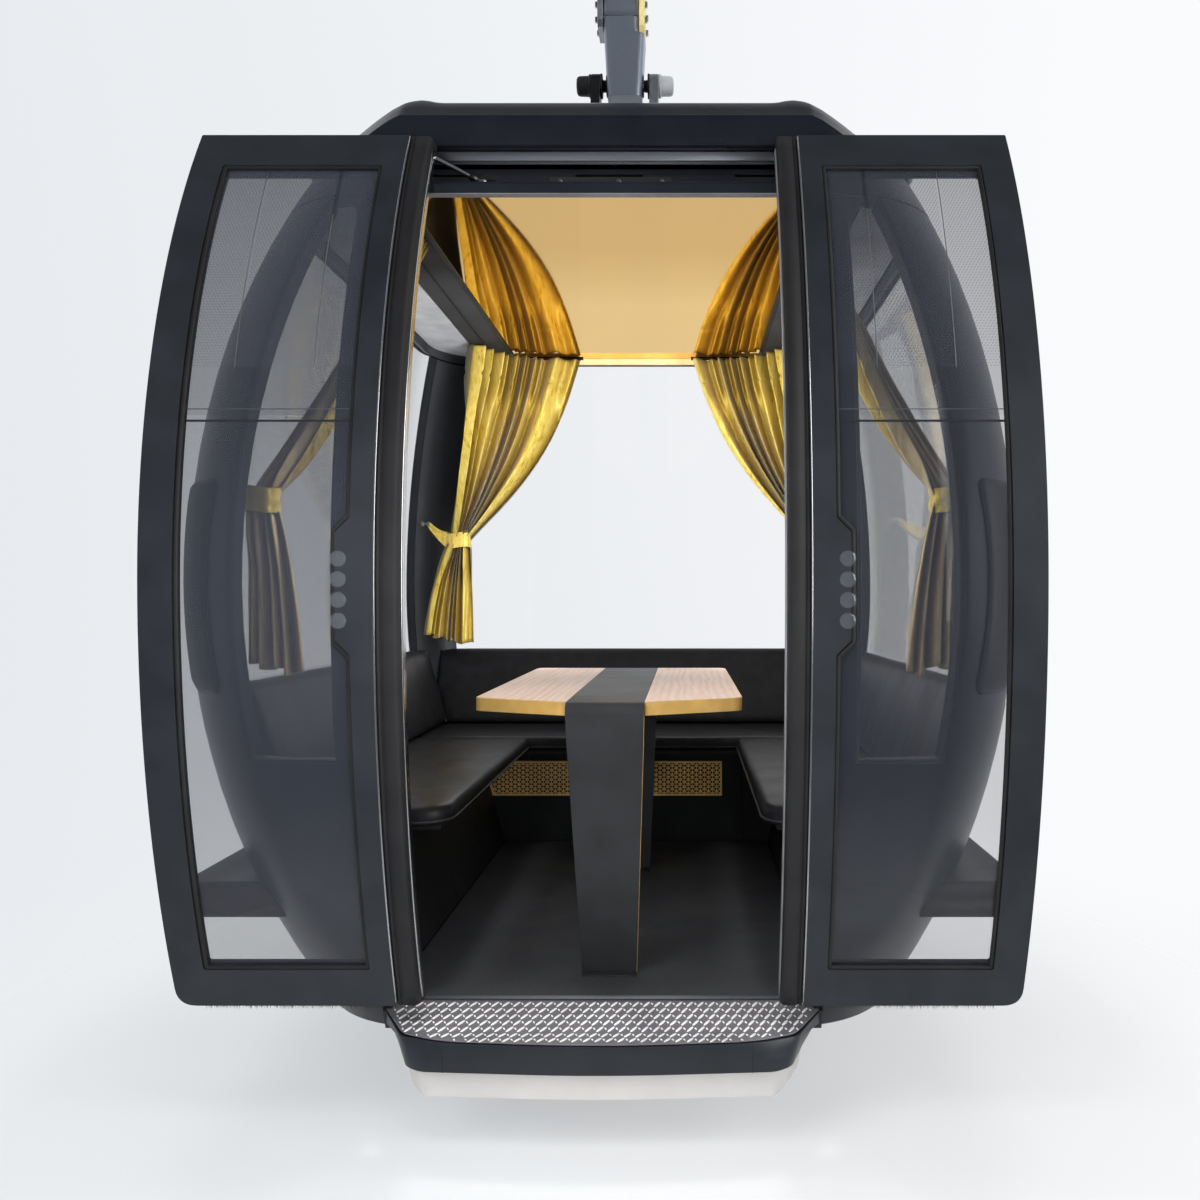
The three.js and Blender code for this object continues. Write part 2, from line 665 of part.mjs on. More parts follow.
// ---------------------------------------------------------------- curtains
// Each curtain hangs from its track, is swept to a tie on the corner pillar and flares to its hem.
// At every height its plan is a curve from one leading edge to the other, of even thickness; the
// curve's ends are on the first quarter's side of the cabin, +X and +Y.
const curtainHead = ceilingHeight - 14;
const tieHeight = 1255;
const hemHeight = 806;
const trackX = ceilingHalfLength + 40;
const trackY = faceY(ceilingHeight) - wall - 33;
const tieInset = { // of the gathered cloth from the inside of the end, and of the door side or the rear
  rear: { x: 200, y: 220 },
  front: { x: 110, y: 220 },
};
const curtainHeads = { // leading edge on the door or rear side, bend, and leading edge on the end side
  rear: [at(225, trackY), at(trackX + 10, trackY), at(trackX + 30, trackY - 283)],
  front: [at(trackX - 5, trackY - 33), at(trackX, trackY - 183), at(trackX + 20, trackY - 353)],
};
const curtainTie = [at(-39, 1), at(5, 11), at(24, -24)]; // about the tie's middle
const curtainHem = {
  rear: [at(-77, 6), at(63, 31), at(108, -64)],
  front: [at(-107, 1), at(3, 26), at(43, -49)],
};
const clothHalf = { head: 28, tie: 26, hem: 34 };
const sweep = 0.86; // how late the swept cloth turns in towards its tie

const curtainPlan = (ends, half) => {
  const spine = new THREE.QuadraticBezierCurve(...ends);
  const samples = [0, 0.25, 0.5, 0.75, 1];
  const offset = (t, distance) => {
    const along = spine.getTangent(t);
    return spine.getPoint(t).add(at(-along.y * distance, along.x * distance));
  };
  return [...samples.map((t) => offset(t, half)), ...samples.reverse().map((t) => offset(t, -half))];
};

const curtain = (signX, signY) => {
  const where = signY > 0 ? "rear" : "front";
  const head = curtainHeads[where];
  const middle = at(endX(tieHeight) - wall - tieInset[where].x, faceY(tieHeight) - wall - tieInset[where].y);
  const tie = curtainTie.map((p) => p.clone().add(middle));
  const hem = curtainHem[where].map((p) => p.clone().add(middle));
  const blend = (from, to, share) => from.map((p, i) => p.clone().lerp(to[i], share));
  const rows = [
    { z: hemHeight, ends: hem, half: clothHalf.hem },
    { z: (hemHeight + tieHeight) / 2, ends: blend(tie, hem, 0.7), half: clothHalf.hem },
    { z: tieHeight, ends: tie, half: clothHalf.tie },
    ...[0.06, 0.2, 0.4, 0.65, 1].map((share) => ({
      z: tieHeight + share * (curtainHead - tieHeight),
      ends: blend(tie, head, Math.sin((share * Math.PI) / 2) ** sweep),
      half: clothHalf.tie + share * (clothHalf.head - clothHalf.tie),
    })),
  ];
  return loft(rows.map(({ z, ends, half }) => {
    const points = curtainPlan(ends, half).map((p) => at(signX * p.x, signY * p.y));
    return { z, points: signX * signY > 0 ? points.reverse() : points };
  }));
};

// ---------------------------------------------------------------- suspension and hanger
// Two lugged plates along the roof, tied by cross bars.
const lug = { foot: 560, footHeight: 45, kneeHalf: 150, kneeHeight: 90 };
const lugTie = { y: [-520, -130, 130, 520], half: 20, height: 40 };
const frameLift = 11; // clear of the roof's shoulders
const roofFrame = () => {
  const foot = roofTop + frameLift + gap;
  const outline = new THREE.Shape();
  outline.moveTo(-lug.foot, foot);
  outline.lineTo(lug.foot, foot);
  outline.lineTo(lug.foot, foot + lug.footHeight);
  outline.lineTo(lug.kneeHalf, foot + lug.kneeHeight);
  outline.lineTo(lugRadius, pinHeight);
  outline.absarc(0, pinHeight, lugRadius, 0, Math.PI);
  outline.lineTo(-lug.kneeHalf, foot + lug.kneeHeight);
  outline.lineTo(-lug.foot, foot + lug.footHeight);
  const points = outline.getPoints(6);
  const plates = [lugInner, -lugInner - lugThickness].map((x) => alongX(points, x, x + lugThickness));
  const ties = lugTie.y.map((y) => block(-lugInner - 1, lugInner + 1,
    y - lugTie.half, y + lugTie.half, foot, foot + lugTie.height));
  return join(...plates, ...ties);
};

const acrossPin = (radius, from, to, segments) =>
  roundRod(radius, [from, 0, pinHeight], [to, 0, pinHeight], segments);
const suspensionPin = () => {
  const outer = lugInner + lugThickness + gap;
  const caps = [-1, 1].map((side) => acrossPin(capRadius, side * outer, side * (outer + capLength), 24));
  return join(acrossPin(pinRadius, -outer - 10, outer + 10, 20), ...caps);
};
const pinHole = acrossPin(pinRadius + 0.5, -300, 300, 20);

// The square tube that rises from the pin; its head is stepped on one side for the longer clamp plate.
const clampLow = { left: 2882, right: 2859 };
const clampTop = 3200;
const stepX = tubeWidthHead / 2 - clampRecess;
const hangerTube = () => {
  const section = (z) => {
    const share = (z - tubeFoot) / (tubeHead - tubeFoot);
    const half = (tubeWidthFoot + share * (tubeWidthHead - tubeWidthFoot)) / 2;
    return { z, points: roundedRectangle(half, half, tubeCorner, 3) };
  };
  return loft([section(tubeFoot), section(tubeHead)]).subtract(pinHole)
    .subtract(block(stepX, farOut, -farOut, farOut, clampLow.right - gap, tubeHead + 1));
};

const clampBolt = { radius: 11, head: 12, rise: [0, 50, 140, 240] }; // heights above the tube's head
const clampChamfer = 18;
const spacerThickness = 8;
const armFoot = tubeHead + gap + spacerThickness;
const clampPlates = () => {
  const half = tubeWidthHead / 2 + 3;
  const chamfer = clampChamfer;
  const faces = { left: -tubeWidthHead / 2 - gap - clampThickness, right: stepX + gap };
  const plate = (side) => {
    const low = clampLow[side];
    const points = polygon([-half, low + chamfer], [chamfer - half, low], [half - chamfer, low],
      [half, low + chamfer], [half, clampTop - chamfer], [half - chamfer, clampTop],
      [chamfer - half, clampTop], [-half, clampTop - chamfer]);
    return alongX(points, faces[side], faces[side] + clampThickness);
  };
  const spacer = block(faces.left + 1, faces.right + 1, -half + chamfer, half - chamfer,
    tubeHead + gap, armFoot);
  const bolts = [-1, 1].flatMap((side) => clampBolt.rise.map((rise) => {
    const face = side > 0 ? faces.right + clampThickness : faces.left;
    const z = tubeHead + rise;
    return roundRod(clampBolt.radius, [face - side * 4, 0, z], [face + side * clampBolt.head, 0, z], 6);
  }));
  return join(plate("right"), plate("left"), spacer, ...bolts);
};

// The arm leaves the rope's plane towards the door side, so that it passes the tower's sheaves.
const pivotHeight = ropeAboveFloor - pivotDrop;
const armTaper = 12; // of its half depth, from foot to head
const armSteps = 24;
const armHeadHalf = 45;
const pivotBore = 31;
const hangerArm = () => {
  const path = new THREE.CurvePath();
  const v = (y, z) => new THREE.Vector3(0, y, z);
  const bendFoot = v(0, clampTop - 20);
  const bendHead = v(-armOffset, clampTop + 500);
  path.add(new THREE.LineCurve3(v(0, armFoot + gap), bendFoot));
  path.add(new THREE.CubicBezierCurve3(bendFoot, v(0, bendFoot.z + 240),
    v(-armOffset, bendHead.z - 260), bendHead));
  path.add(new THREE.LineCurve3(bendHead, v(-armOffset, pivotHeight - pivotRadius / 2)));
  const spine = Array.from({ length: armSteps + 1 }, (_, i) => path.getPoint(i / armSteps));
  const edge = (sign) => spine.map((p, i) => {
    const before = spine[Math.max(i - 1, 0)];
    const ahead = spine[Math.min(i + 1, armSteps)].clone().sub(before).normalize();
    const reach = armWidth / 2 - (armTaper * i) / armSteps;
    return at(p.y + sign * reach * ahead.z, p.z - sign * reach * ahead.y);
  });
  const left = -tubeWidthHead / 2;
  const arm = alongX([...edge(1), ...edge(-1).reverse()], left, stepX);
  const acrossPivot = (radius, half, segments) => roundRod(radius,
    [0, -armOffset + half, pivotHeight], [0, -armOffset - half, pivotHeight], segments);
  return join(arm, acrossPivot(pivotRadius, armHeadHalf, 28))
    .subtract(acrossPivot(pivotBore, pivotRadius, 24));
};

// ---------------------------------------------------------------- rope grip, about the rope at the origin
const gripHalf = 70;
const gripRear = 70;
const gripFront = -196;
const earGap = 6; // between the moving jaw and the ears that carry its pin
const axleRadius = 14;
const pivotShaft = { radius: 25, capRadius: 44, capThickness: 12, clear: 52 };
const alongRope = (radius, y, z, segments) =>
  roundRod(radius, [-gripHalf - 20, y, z], [gripHalf + 20, y, z], segments);
const ropeGroove = alongRope(ropeRadius + 0.5, 0, 0, 28);
const gripBody = () => {
  const fixedJaw = alongX(polygon(
    [-32, -22], [-12, -42], [-60, -95], [-150, -95], [gripFront, -70], [gripFront, gripTop],
    [gripRear, gripTop], [gripRear, 66], [-10, 52], [-32, 30]), -gripHalf, gripHalf);
  const capFace = -armOffset - pivotShaft.clear;
  const acrossRope = (radius, from, to, z, segments) => roundRod(radius, [0, from, z], [0, to, z], segments);
  const shaft = acrossRope(pivotShaft.radius, gripFront + 6, capFace - 10, -pivotDrop, 24);
  const cap = acrossRope(pivotShaft.capRadius, capFace, capFace - pivotShaft.capThickness, -pivotDrop, 24);
  const axle = acrossRope(axleRadius, wheelOuterY - 30, wheelInnerY + 30, wheelHeight, 16);
  const { y, z, radius } = jawPin;
  const pin = roundRod(radius, [-jawHalf - 10, y, z], [jawHalf + 10, y, z], 16);
  const ears = [-1, 1].map((side) => {
    const from = side > 0 ? jawHalf + earGap : -gripHalf;
    return block(from, from + gripHalf - jawHalf - earGap, y - 14, gripRear, z - 14, 70);
  });
  return join(fixedJaw, shaft, cap, axle, pin, ...ears).subtract(ropeGroove);
};

const movingJaw = () => {
  const profile = polygon([12, 36], [33, 22], [33, -14], [16, -30], [30, -46], [62, -30],
    [69, 40], [69, 56], [47, 60], [30, 50]);
  const { y, z, radius } = jawPin;
  return alongX(profile, -jawHalf, jawHalf).subtract(ropeGroove).subtract(alongRope(radius + 0.5, y, z, 16));
};

// Two coil springs on one saddle press the moving jaw shut.
const spring = { x: 38, from: -185, to: 40 };
const saddle = { half: 45, from: -150, to: 10 };
const gripSprings = () => join(
  ...[-spring.x, spring.x].map((x) =>
    roundRod(springRadius, [x, spring.from, springHeight], [x, spring.to, springHeight], 20)),
  block(-saddle.half, saddle.half, saddle.from, saddle.to, gripTop + gap, springHeight),
);

// The station's tyres drive the cabin by this plate.
const friction = { half: 170, from: -150, to: -20, bottom: 228, top: 240 };
const frictionWeb = { half: 60, from: -120, to: -50 };
const frictionPlate = () => join(
  block(-friction.half, friction.half, friction.from, friction.to, friction.bottom, friction.top),
  block(-frictionWeb.half, frictionWeb.half, frictionWeb.from, frictionWeb.to,
    springHeight + springRadius + gap, friction.bottom + 1),
);

const wheelBore = axleRadius + 0.5;
const wheelChamfer = 6;
const wheel = (y) => {
  const half = wheelWidth / 2;
  const profile = [
    at(wheelBore, -half), at(wheelRadius - wheelChamfer, -half), at(wheelRadius, wheelChamfer - half),
    at(wheelRadius, half - wheelChamfer), at(wheelRadius - wheelChamfer, half), at(wheelBore, half),
    at(wheelBore, -half),
  ];
  return new THREE.LatheGeometry(profile, 36).translate(0, y, wheelHeight);
};

// ---------------------------------------------------------------- assembly
const assembly = new THREE.Group();
const cabin = new THREE.Group();
cabin.position.z = -ropeAboveFloor;
assembly.add(cabin);

const place = (group, name, body, material) => {
  const geometry = body instanceof THREE.BufferGeometry ? body : geometryOf(body);
  const mesh = new THREE.Mesh(geometry, material);
  mesh.name = name;
  group.add(mesh);
};

const sides = [["left", -1], ["right", 1]];
for (const [name, side] of sides) {
  place(cabin, `front_${name}_corner`, join(frontCorner(side), rubPad(side, -1)), finish.blackPaint);
  place(cabin, `${name}_end_panel`, endPanel(side), finish.blackPaint);
  place(cabin, `${name}_window`, endWindow(side), finish.glass);
  place(cabin, `front_${name}_window`, frontWindow(side), finish.glass);
  place(cabin, `${name}_roof_liner`, roofLiner(side), finish.blackPlastic);
  place(cabin, `${name}_bumper`, endBumper(side), finish.rubber);
  place(cabin, `${name}_door_frame`, leafFrame(side), finish.blackPaint);
  place(cabin, `${name}_door_glass`, leafGlass(side), finish.glass);
  place(cabin, `${name}_door_seal`, leafSeal(side), finish.rubber);
  place(cabin, `${name}_bench_base`, endBench(side), finish.blackPlastic);
  place(cabin, `${name}_seat`, endSeat(side), finish.leather);
  place(cabin, `${name}_backrest`, endBackrest(side), finish.leather);
  place(cabin, `table_${name}_leaf`, tableLeaf(side), finish.wood);
  place(cabin, `front_${name}_curtain`, curtain(side, -1), finish.curtain);
  place(cabin, `rear_${name}_curtain`, curtain(side, 1), finish.curtain);
}
place(cabin, "rear_wall", join(rearWall(), rubPad(1, 1), rubPad(-1, 1)), finish.blackPaint);
place(cabin, "rear_window", rearWindow(), finish.glass);
place(cabin, "roof", roof(), finish.blackPaint);
place(cabin, "ceiling_panel", ceilingPanel(), finish.gold);
place(cabin, "door_header", doorHeader(), finish.blackPaint);
place(cabin, "door_drive", doorDrive(), finish.steel);
place(cabin, "floor_pan", floorPan(), finish.blackPaint);
place(cabin, "floor_mat", floorMat(), finish.mat);
place(cabin, "underframe", underframe(), finish.steel);
place(cabin, "step_frame", stepFrame(), finish.blackPlastic);
place(cabin, "step_tread", stepTread(), finish.tread);
place(cabin, "step_skirt", stepSkirt(), finish.pale);
place(cabin, "rear_bench_base", rearBench(), finish.blackPlastic);
place(cabin, "bench_grille", benchGrille(), finish.gold);
place(cabin, "rear_seat", rearSeat(), finish.leather);
place(cabin, "rear_backrest", rearBackrest(), finish.leather);
place(cabin, "table_stand", tableStand(), finish.blackPaint);
place(cabin, "roof_frame", roofFrame().subtract(pinHole), finish.steel);
place(cabin, "suspension_pin", suspensionPin(), finish.rubber);
place(cabin, "hanger_tube", hangerTube(), finish.steel);
place(cabin, "hanger_clamp", clampPlates(), finish.yellow);
place(cabin, "hanger_arm", hangerArm(), finish.steel);
place(assembly, "grip_body", gripBody(), finish.steel);
place(assembly, "grip_jaw", movingJaw(), finish.steel);
place(assembly, "grip_springs", gripSprings(), finish.steel);
place(assembly, "friction_plate", frictionPlate(), finish.steel);
place(assembly, "outer_running_wheel", wheel(wheelOuterY), finish.rubber);
place(assembly, "inner_running_wheel", wheel(wheelInnerY), finish.rubber);

export default assembly;
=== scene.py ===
# %% [markdown]
# # A lounge cabin of an aerial tramway
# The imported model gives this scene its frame: the haul rope's centre is the origin, +Z is up, X runs along
# the rope and -Y is the side with the doors. Every visible piece is made here, in metres, in that frame.
# Each fine piece then says which body it rides on and which plain solid it stands for, so the joints keep
# working whatever is drawn.

# %% Load the frame
import bmesh
import bpy
import random
import numpy as np
from math import acos, asin, copysign, cos, exp, hypot, pi, radians, sin, sqrt, tan
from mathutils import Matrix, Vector
from mathutils.noise import noise


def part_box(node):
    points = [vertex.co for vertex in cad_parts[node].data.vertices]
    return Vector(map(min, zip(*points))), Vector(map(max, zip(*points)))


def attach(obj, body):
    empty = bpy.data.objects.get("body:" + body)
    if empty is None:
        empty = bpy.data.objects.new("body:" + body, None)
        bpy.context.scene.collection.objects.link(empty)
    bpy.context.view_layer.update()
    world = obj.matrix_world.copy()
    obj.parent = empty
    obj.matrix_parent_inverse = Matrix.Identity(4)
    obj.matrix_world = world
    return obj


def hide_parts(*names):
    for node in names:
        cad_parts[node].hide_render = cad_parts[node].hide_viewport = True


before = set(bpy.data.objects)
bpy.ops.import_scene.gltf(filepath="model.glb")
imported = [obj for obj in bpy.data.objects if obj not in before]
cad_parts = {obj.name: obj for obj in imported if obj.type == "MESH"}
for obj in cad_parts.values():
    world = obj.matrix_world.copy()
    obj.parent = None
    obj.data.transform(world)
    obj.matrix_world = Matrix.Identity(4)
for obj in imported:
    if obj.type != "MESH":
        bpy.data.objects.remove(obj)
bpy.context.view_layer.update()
scene = bpy.context.scene
scene.view_settings.view_transform = "Standard"
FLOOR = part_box("floor_pan")[1].z  # the cabin's floor, from which heights are counted
SIDES = (("left", -1), ("right", 1))

# %% [markdown]
# ## The barrel
# The real body is moulded to a double bulge: it is widest a little above the seats and comes in towards the
# floor and the roof. One could sculpt that by eye, but panels, glass, pads and doors then never quite agree.
# Here the bulge is two arcs for the long sides and two for the ends, with one corner radius in plan, and every
# panel asks the same three functions where the surface is.

# %% The body's surface
BULGE = 1.04  # height above the floor where the body is widest
HALF_LENGTH, HALF_DEPTH, CORNER = 1.02, 1.2, 0.3
SIDE_ARC = (2.05, 2.73)  # of the door side and the rear, above and below the bulge
END_ARC = (3.0, 2.25)
WALL = 0.045


def at(x, y, height):
    """A point by its height above the cabin's floor."""
    return Vector((x, y, FLOOR + height))


def drop(height, arc):
    radius = arc[0] if height > BULGE else arc[1]
    return radius - sqrt(radius ** 2 - (height - BULGE) ** 2)


def end_x(height):
    return HALF_LENGTH - drop(height, END_ARC)


def face_y(height):
    return HALF_DEPTH - drop(height, SIDE_ARC)


def turn_at_x(x, height):
    """The place round the plan of a point x from the middle: 0 to 1 along the face, 1 to 2 round the corner."""
    start = end_x(height) - CORNER
    return x / start if x <= start else 1 + asin(min(1, (x - start) / CORNER)) / (pi / 2)


def turn_at_y(y, height):
    """The same for a point y from the middle: 1 to 2 round the corner, 2 to 3 along the end."""
    start = face_y(height) - CORNER
    return 3 - y / start if y <= start else 1 + acos(min(1, (y - start) / CORNER)) / (pi / 2)


def body_point(turn, height, inset, rear):
    """A point of the barrel; a negative turn is on the -X half, and rear picks +Y over -Y."""
    along, flat_x, flat_y = abs(turn), end_x(height) - CORNER, face_y(height) - CORNER
    if along <= 1:
        x, y = along * flat_x, flat_y + CORNER - inset
    elif along <= 2:
        angle = (along - 1) * pi / 2
        x = flat_x + (CORNER - inset) * sin(angle)
        y = flat_y + (CORNER - inset) * cos(angle)
    else:
        x, y = flat_x + CORNER - inset, (3 - along) * flat_y
    return at(copysign(x, turn), y if rear else -y, height)


def inside_wall_x(height, y, clear):
    """How far out a point at y may lie inside an end and round its corners, clear of the barrel."""
    past = max(0, abs(y) - (face_y(height) - CORNER))
    return end_x(height) - CORNER + sqrt(max(0, (CORNER - clear) ** 2 - past ** 2))


print("half length and half depth at the floor", round(end_x(0), 3), round(face_y(0), 3))

# %% [markdown]
# ## Small tools
# A mesh in Blender is a list of points and a list of faces. These helpers turn such lists into objects, soften
# their edges with a bevel that keeps flat faces flat, and hand each one to its body, its plain solid and its
# finish in one line, so that the cells below can be about shapes.

# %% Helpers for points
def span(low, high, steps):
    return [low + (high - low) * i / steps for i in range(steps + 1)]


def in_plane(points, side=1):
    """Points of a plane as vectors, mirrored for the left side."""
    return [Vector((side * p[0], p[1])) for p in points]


def rectangle(x0, x1, y0, y1):
    return in_plane([(x0, y0), (x1, y0), (x1, y1), (x0, y1)])


def circle(x, y, radius, count):
    return in_plane([(x + radius * cos(a), y + radius * sin(a)) for a in span(0, 2 * pi, count)[:-1]])


def bezier(ends, t):
    """A point of the curve with these control points, by halving them down."""
    while len(ends) > 1:
        ends = [a.lerp(b, t) for a, b in zip(ends, ends[1:])]
    return ends[0]


def loop_pairs(points):
    return zip(points, points[1:] + points[:1])


print("point helpers ready; three steps from 0 to 1 are", span(0, 1, 3))

# %% [markdown]
# Blender keeps a shape apart from the object that shows it, and a modifier rounds or thickens the shape without
# changing its points. Working with both keeps every panel editable, which is why nothing is sculpted here.

# %% Helpers for meshes
def from_bmesh(name, work, smooth=True, outwards=True):
    """A bmesh as an object of the scene; smooth None leaves the shading of its faces as it is."""
    if outwards:
        bmesh.ops.recalc_face_normals(work, faces=work.faces)
    if smooth is not None:
        for face in work.faces:
            face.smooth = smooth
    mesh = bpy.data.meshes.new(name)
    work.to_mesh(mesh)
    work.free()
    piece = bpy.data.objects.new(name, mesh)
    scene.collection.objects.link(piece)
    return piece


def evaluated(piece):
    return piece.evaluated_get(bpy.context.evaluated_depsgraph_get())


def soften(piece, width=0.002, segments=2, angle=40):
    """Rounds the sharp edges and keeps the faces between them flat."""
    bevel = piece.modifiers.new("rounded edges", "BEVEL")
    bevel.width, bevel.segments = width, segments
    bevel.limit_method, bevel.angle_limit = "ANGLE", radians(angle)
    bevel.harden_normals = True
    return piece


def thicken(piece, thickness, offset=-1, inner=0, even=True):
    solid = piece.modifiers.new("thickness", "SOLIDIFY")
    solid.thickness, solid.offset, solid.use_even_offset = thickness, offset, even
    solid.material_offset = solid.material_offset_rim = inner
    return piece


def finish(piece, material, slot, nodes=(), body="cabin"):
    """Gives a piece its material, its body and the plain solids it stands for; the slot is not used."""
    for each in material if isinstance(material, list) else [material]:
        piece.data.materials.append(each)
    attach(piece, body)
    if nodes:
        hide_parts(nodes)
    return piece


def joined(name, pieces, smooth=None):
    """Several meshes as one, with their modifiers applied first."""
    work = bmesh.new()
    for piece in pieces:
        shaped = evaluated(piece)
        work.from_mesh(shaped.to_mesh())
        shaped.to_mesh_clear()
    for piece in pieces:
        bpy.data.objects.remove(piece)
    return from_bmesh(name, work, smooth, False)


def lofted(name, rings):
    """A closed skin through rings of equal point counts, with its two ends capped."""
    work = bmesh.new()
    rings = [[work.verts.new(p) for p in ring] for ring in rings]
    for low, high in zip(rings, rings[1:]):
        for (a, b), (c, d) in zip(loop_pairs(low), loop_pairs(high)):
            work.faces.new((a, b, d, c))
    work.faces.new(rings[0])
    work.faces.new(rings[-1])
    return from_bmesh(name, work)


print("helpers ready")

# %% [markdown]
# ## Camera, floor and light
# A cabin is looked at the way a passenger meets it: standing on the platform just outside the open doors, with
# the eyes a little lower than the middle of the doorway. A wide lens that close makes the near door leaves
# large and the room behind them small, which is most of the feeling of the thing.

# %% Camera
lens = bpy.data.cameras.new("camera")
camera = bpy.data.objects.new("camera", lens)
scene.collection.objects.link(camera)
camera.location = at(0.2, -3.6175, 0.99)
camera.rotation_euler = (pi / 2, 0, 0)
lens.sensor_width, lens.lens, lens.shift_x = 36, 32.4, -0.0708
scene.camera = camera
print("eye height above the floor", round(camera.location.z - FLOOR, 2))

# %% [markdown]
# The surroundings and the finishes are small networks of nodes, with numbers flowing from one to the next.
# One short tool writes them all: it adds a node together with its links and settings.

# %% A short way to write node networks
class Nodes:
    """A tree of nodes, the world's or a material's, with one-line ways to add to it."""

    def __init__(self, tree):
        self.tree = tree

    def node(self, kind, links=None, **settings):
        """A node of a kind, the links into it by socket, and its settings by name."""
        made = self.tree.nodes.new(kind)
        for name, value in settings.items():
            if hasattr(made, name):
                setattr(made, name, value)
            else:
                made.inputs[name.replace("_", " ")].default_value = value
        for name, source in (links or {}).items():
            self.tree.links.new(source, made.inputs[name])
        return made

    def ramp(self, source, *stops):
        """The source read through (position, grey or colour) stops."""
        made = self.node("ShaderNodeValToRGB", {"Fac": source})
        elements = made.color_ramp.elements
        while len(elements) < len(stops):
            elements.new(0.5)
        for element, (position, colour) in zip(elements, stops):
            element.position = position
            element.color = (*colour, 1) if isinstance(colour, tuple) else (colour, colour, colour, 1)
        return made.outputs[0]

    def ranged(self, source, low, high, start=0.0, end=1.0, kind="LINEAR"):
        """A value that runs from start to end while the source runs from low to high."""
        return self.node("ShaderNodeMapRange", {"Value": source}, From_Min=low, From_Max=high, To_Min=start,
            To_Max=end, interpolation_type=kind).outputs[0]

    def math(self, operation, *values):
        made = self.node("ShaderNodeMath", operation=operation)
        for socket, value in zip(made.inputs, values):
            if isinstance(value, (int, float)):
                socket.default_value = value
            else:
                self.tree.links.new(value, socket)
        return made.outputs[0]

    def end(self, source, node, socket):
        self.tree.links.new(source, self.tree.nodes[node].inputs[socket])


print("node helpers ready")

# %% [markdown]
# A studio sweep is white without being a light. The surroundings show as near-white to the camera and to glass
# and metal that pass or mirror them, through the Light Path node, while the lamps alone light the cabin. The
# side of the room behind the camera is kept darker for reflections, so that black paint stays black.

# %% Surroundings
world = bpy.data.worlds.new("studio")
scene.world = world
world.use_nodes = True
studio = Nodes(world.node_tree)
axes = studio.node("ShaderNodeSeparateXYZ", {0: studio.node("ShaderNodeTexCoord").outputs["Generated"]}).outputs
shown = studio.ramp(studio.ranged(axes["X"], -0.6, 0.35), (0.0, (0.79, 0.82, 0.85)),
    (1.0, (0.955, 0.965, 0.985)))
room = studio.ramp(studio.ranged(axes["Y"], -1.0, 1.0), (0.25, (0.1, 0.105, 0.115)), (0.75, (0.9, 0.91, 0.93)))
room = studio.node("ShaderNodeVectorMath", {0: room, "Scale": studio.ranged(axes["Z"], 0.6, 0.92, 1.0, 0.12)},
    operation="SCALE").outputs["Vector"]
ray = studio.node("ShaderNodeLightPath").outputs
seen = studio.math("MAXIMUM", ray["Is Camera Ray"], ray["Is Transmission Ray"])
mirrored = studio.math("MULTIPLY", ray["Is Glossy Ray"], studio.ranged(axes["Y"], 0.3, 0.7))
mixed = studio.node("ShaderNodeMix", {"Factor": studio.math("MAXIMUM", seen, mirrored), "A": room, "B": shown},
    data_type="RGBA")
studio.end(mixed.outputs["Result"], "Background", "Color")
print("surroundings made")

# %% [markdown]
# The floor only has to hold the cabin's soft shadow. It is matt and lit near the cabin, and lets the pale
# surroundings through more and more with distance, so that no horizon shows.

# %% Floor
FLOOR_GAP = 0.3  # from the cabin's floor down to the studio's
bpy.ops.mesh.primitive_plane_add(size=60, location=at(0, 0, -FLOOR_GAP))
ground = bpy.context.object
ground.name = "studio_floor"
sweep = bpy.data.materials.new("pale sweep")
sweep.use_nodes = True
sweep_nodes = Nodes(sweep.node_tree)
matt = sweep.node_tree.nodes["Principled BSDF"]
for socket, value in (("Base Color", (0.78, 0.79, 0.8, 1)), ("Roughness", 0.9), ("Specular IOR Level", 0.1)):
    matt.inputs[socket].default_value = value
away = sweep_nodes.node("ShaderNodeVectorMath", {0: sweep_nodes.node("ShaderNodeTexCoord").outputs["Object"]},
    operation="LENGTH").outputs["Value"]
ray = sweep_nodes.node("ShaderNodeLightPath").outputs
seen = sweep_nodes.math("MAXIMUM", ray["Is Camera Ray"], ray["Is Transmission Ray"])
seen = sweep_nodes.math("MAXIMUM", seen, ray["Is Glossy Ray"])
through = sweep_nodes.math("MULTIPLY", sweep_nodes.ranged(away, 1.2, 3.2, 0.55, 1.0, "SMOOTHSTEP"), seen)
both = sweep_nodes.node("ShaderNodeMixShader", {0: through, 1: matt.outputs[0],
    2: sweep_nodes.node("ShaderNodeBsdfTransparent").outputs[0]})
sweep_nodes.end(both.outputs[0], "Material Output", "Surface")
ground.data.materials.append(sweep)
print("studio floor", FLOOR_GAP, "m below the cabin's")

# %% [markdown]
# Soft light comes from large lamps: one broad panel high in front on the left, a weaker one on the right, one
# over the roof, and one behind the rear window that lights the curtains and the ceiling from the far side.
# Small lamps inside stand for the light that the pale curtains throw from one to another.

# %% Lamps
MIDDLE = at(0, 0, 1)


def soft_lamp(name, place, size, power, aim=MIDDLE, mirrored=False):
    """A broad lamp; only one of them may show as a highlight, since a white square in glass looks false."""
    lamp = bpy.data.lights.new(name, "AREA")
    lamp.shape, lamp.size, lamp.size_y, lamp.energy = "RECTANGLE", *size, power
    holder = bpy.data.objects.new(name, lamp)
    holder.location = at(*place)
    holder.rotation_euler = (aim - holder.location).to_track_quat("-Z", "Y").to_euler()
    holder.visible_camera = holder.visible_transmission = False
    holder.visible_glossy = mirrored
    scene.collection.objects.link(holder)


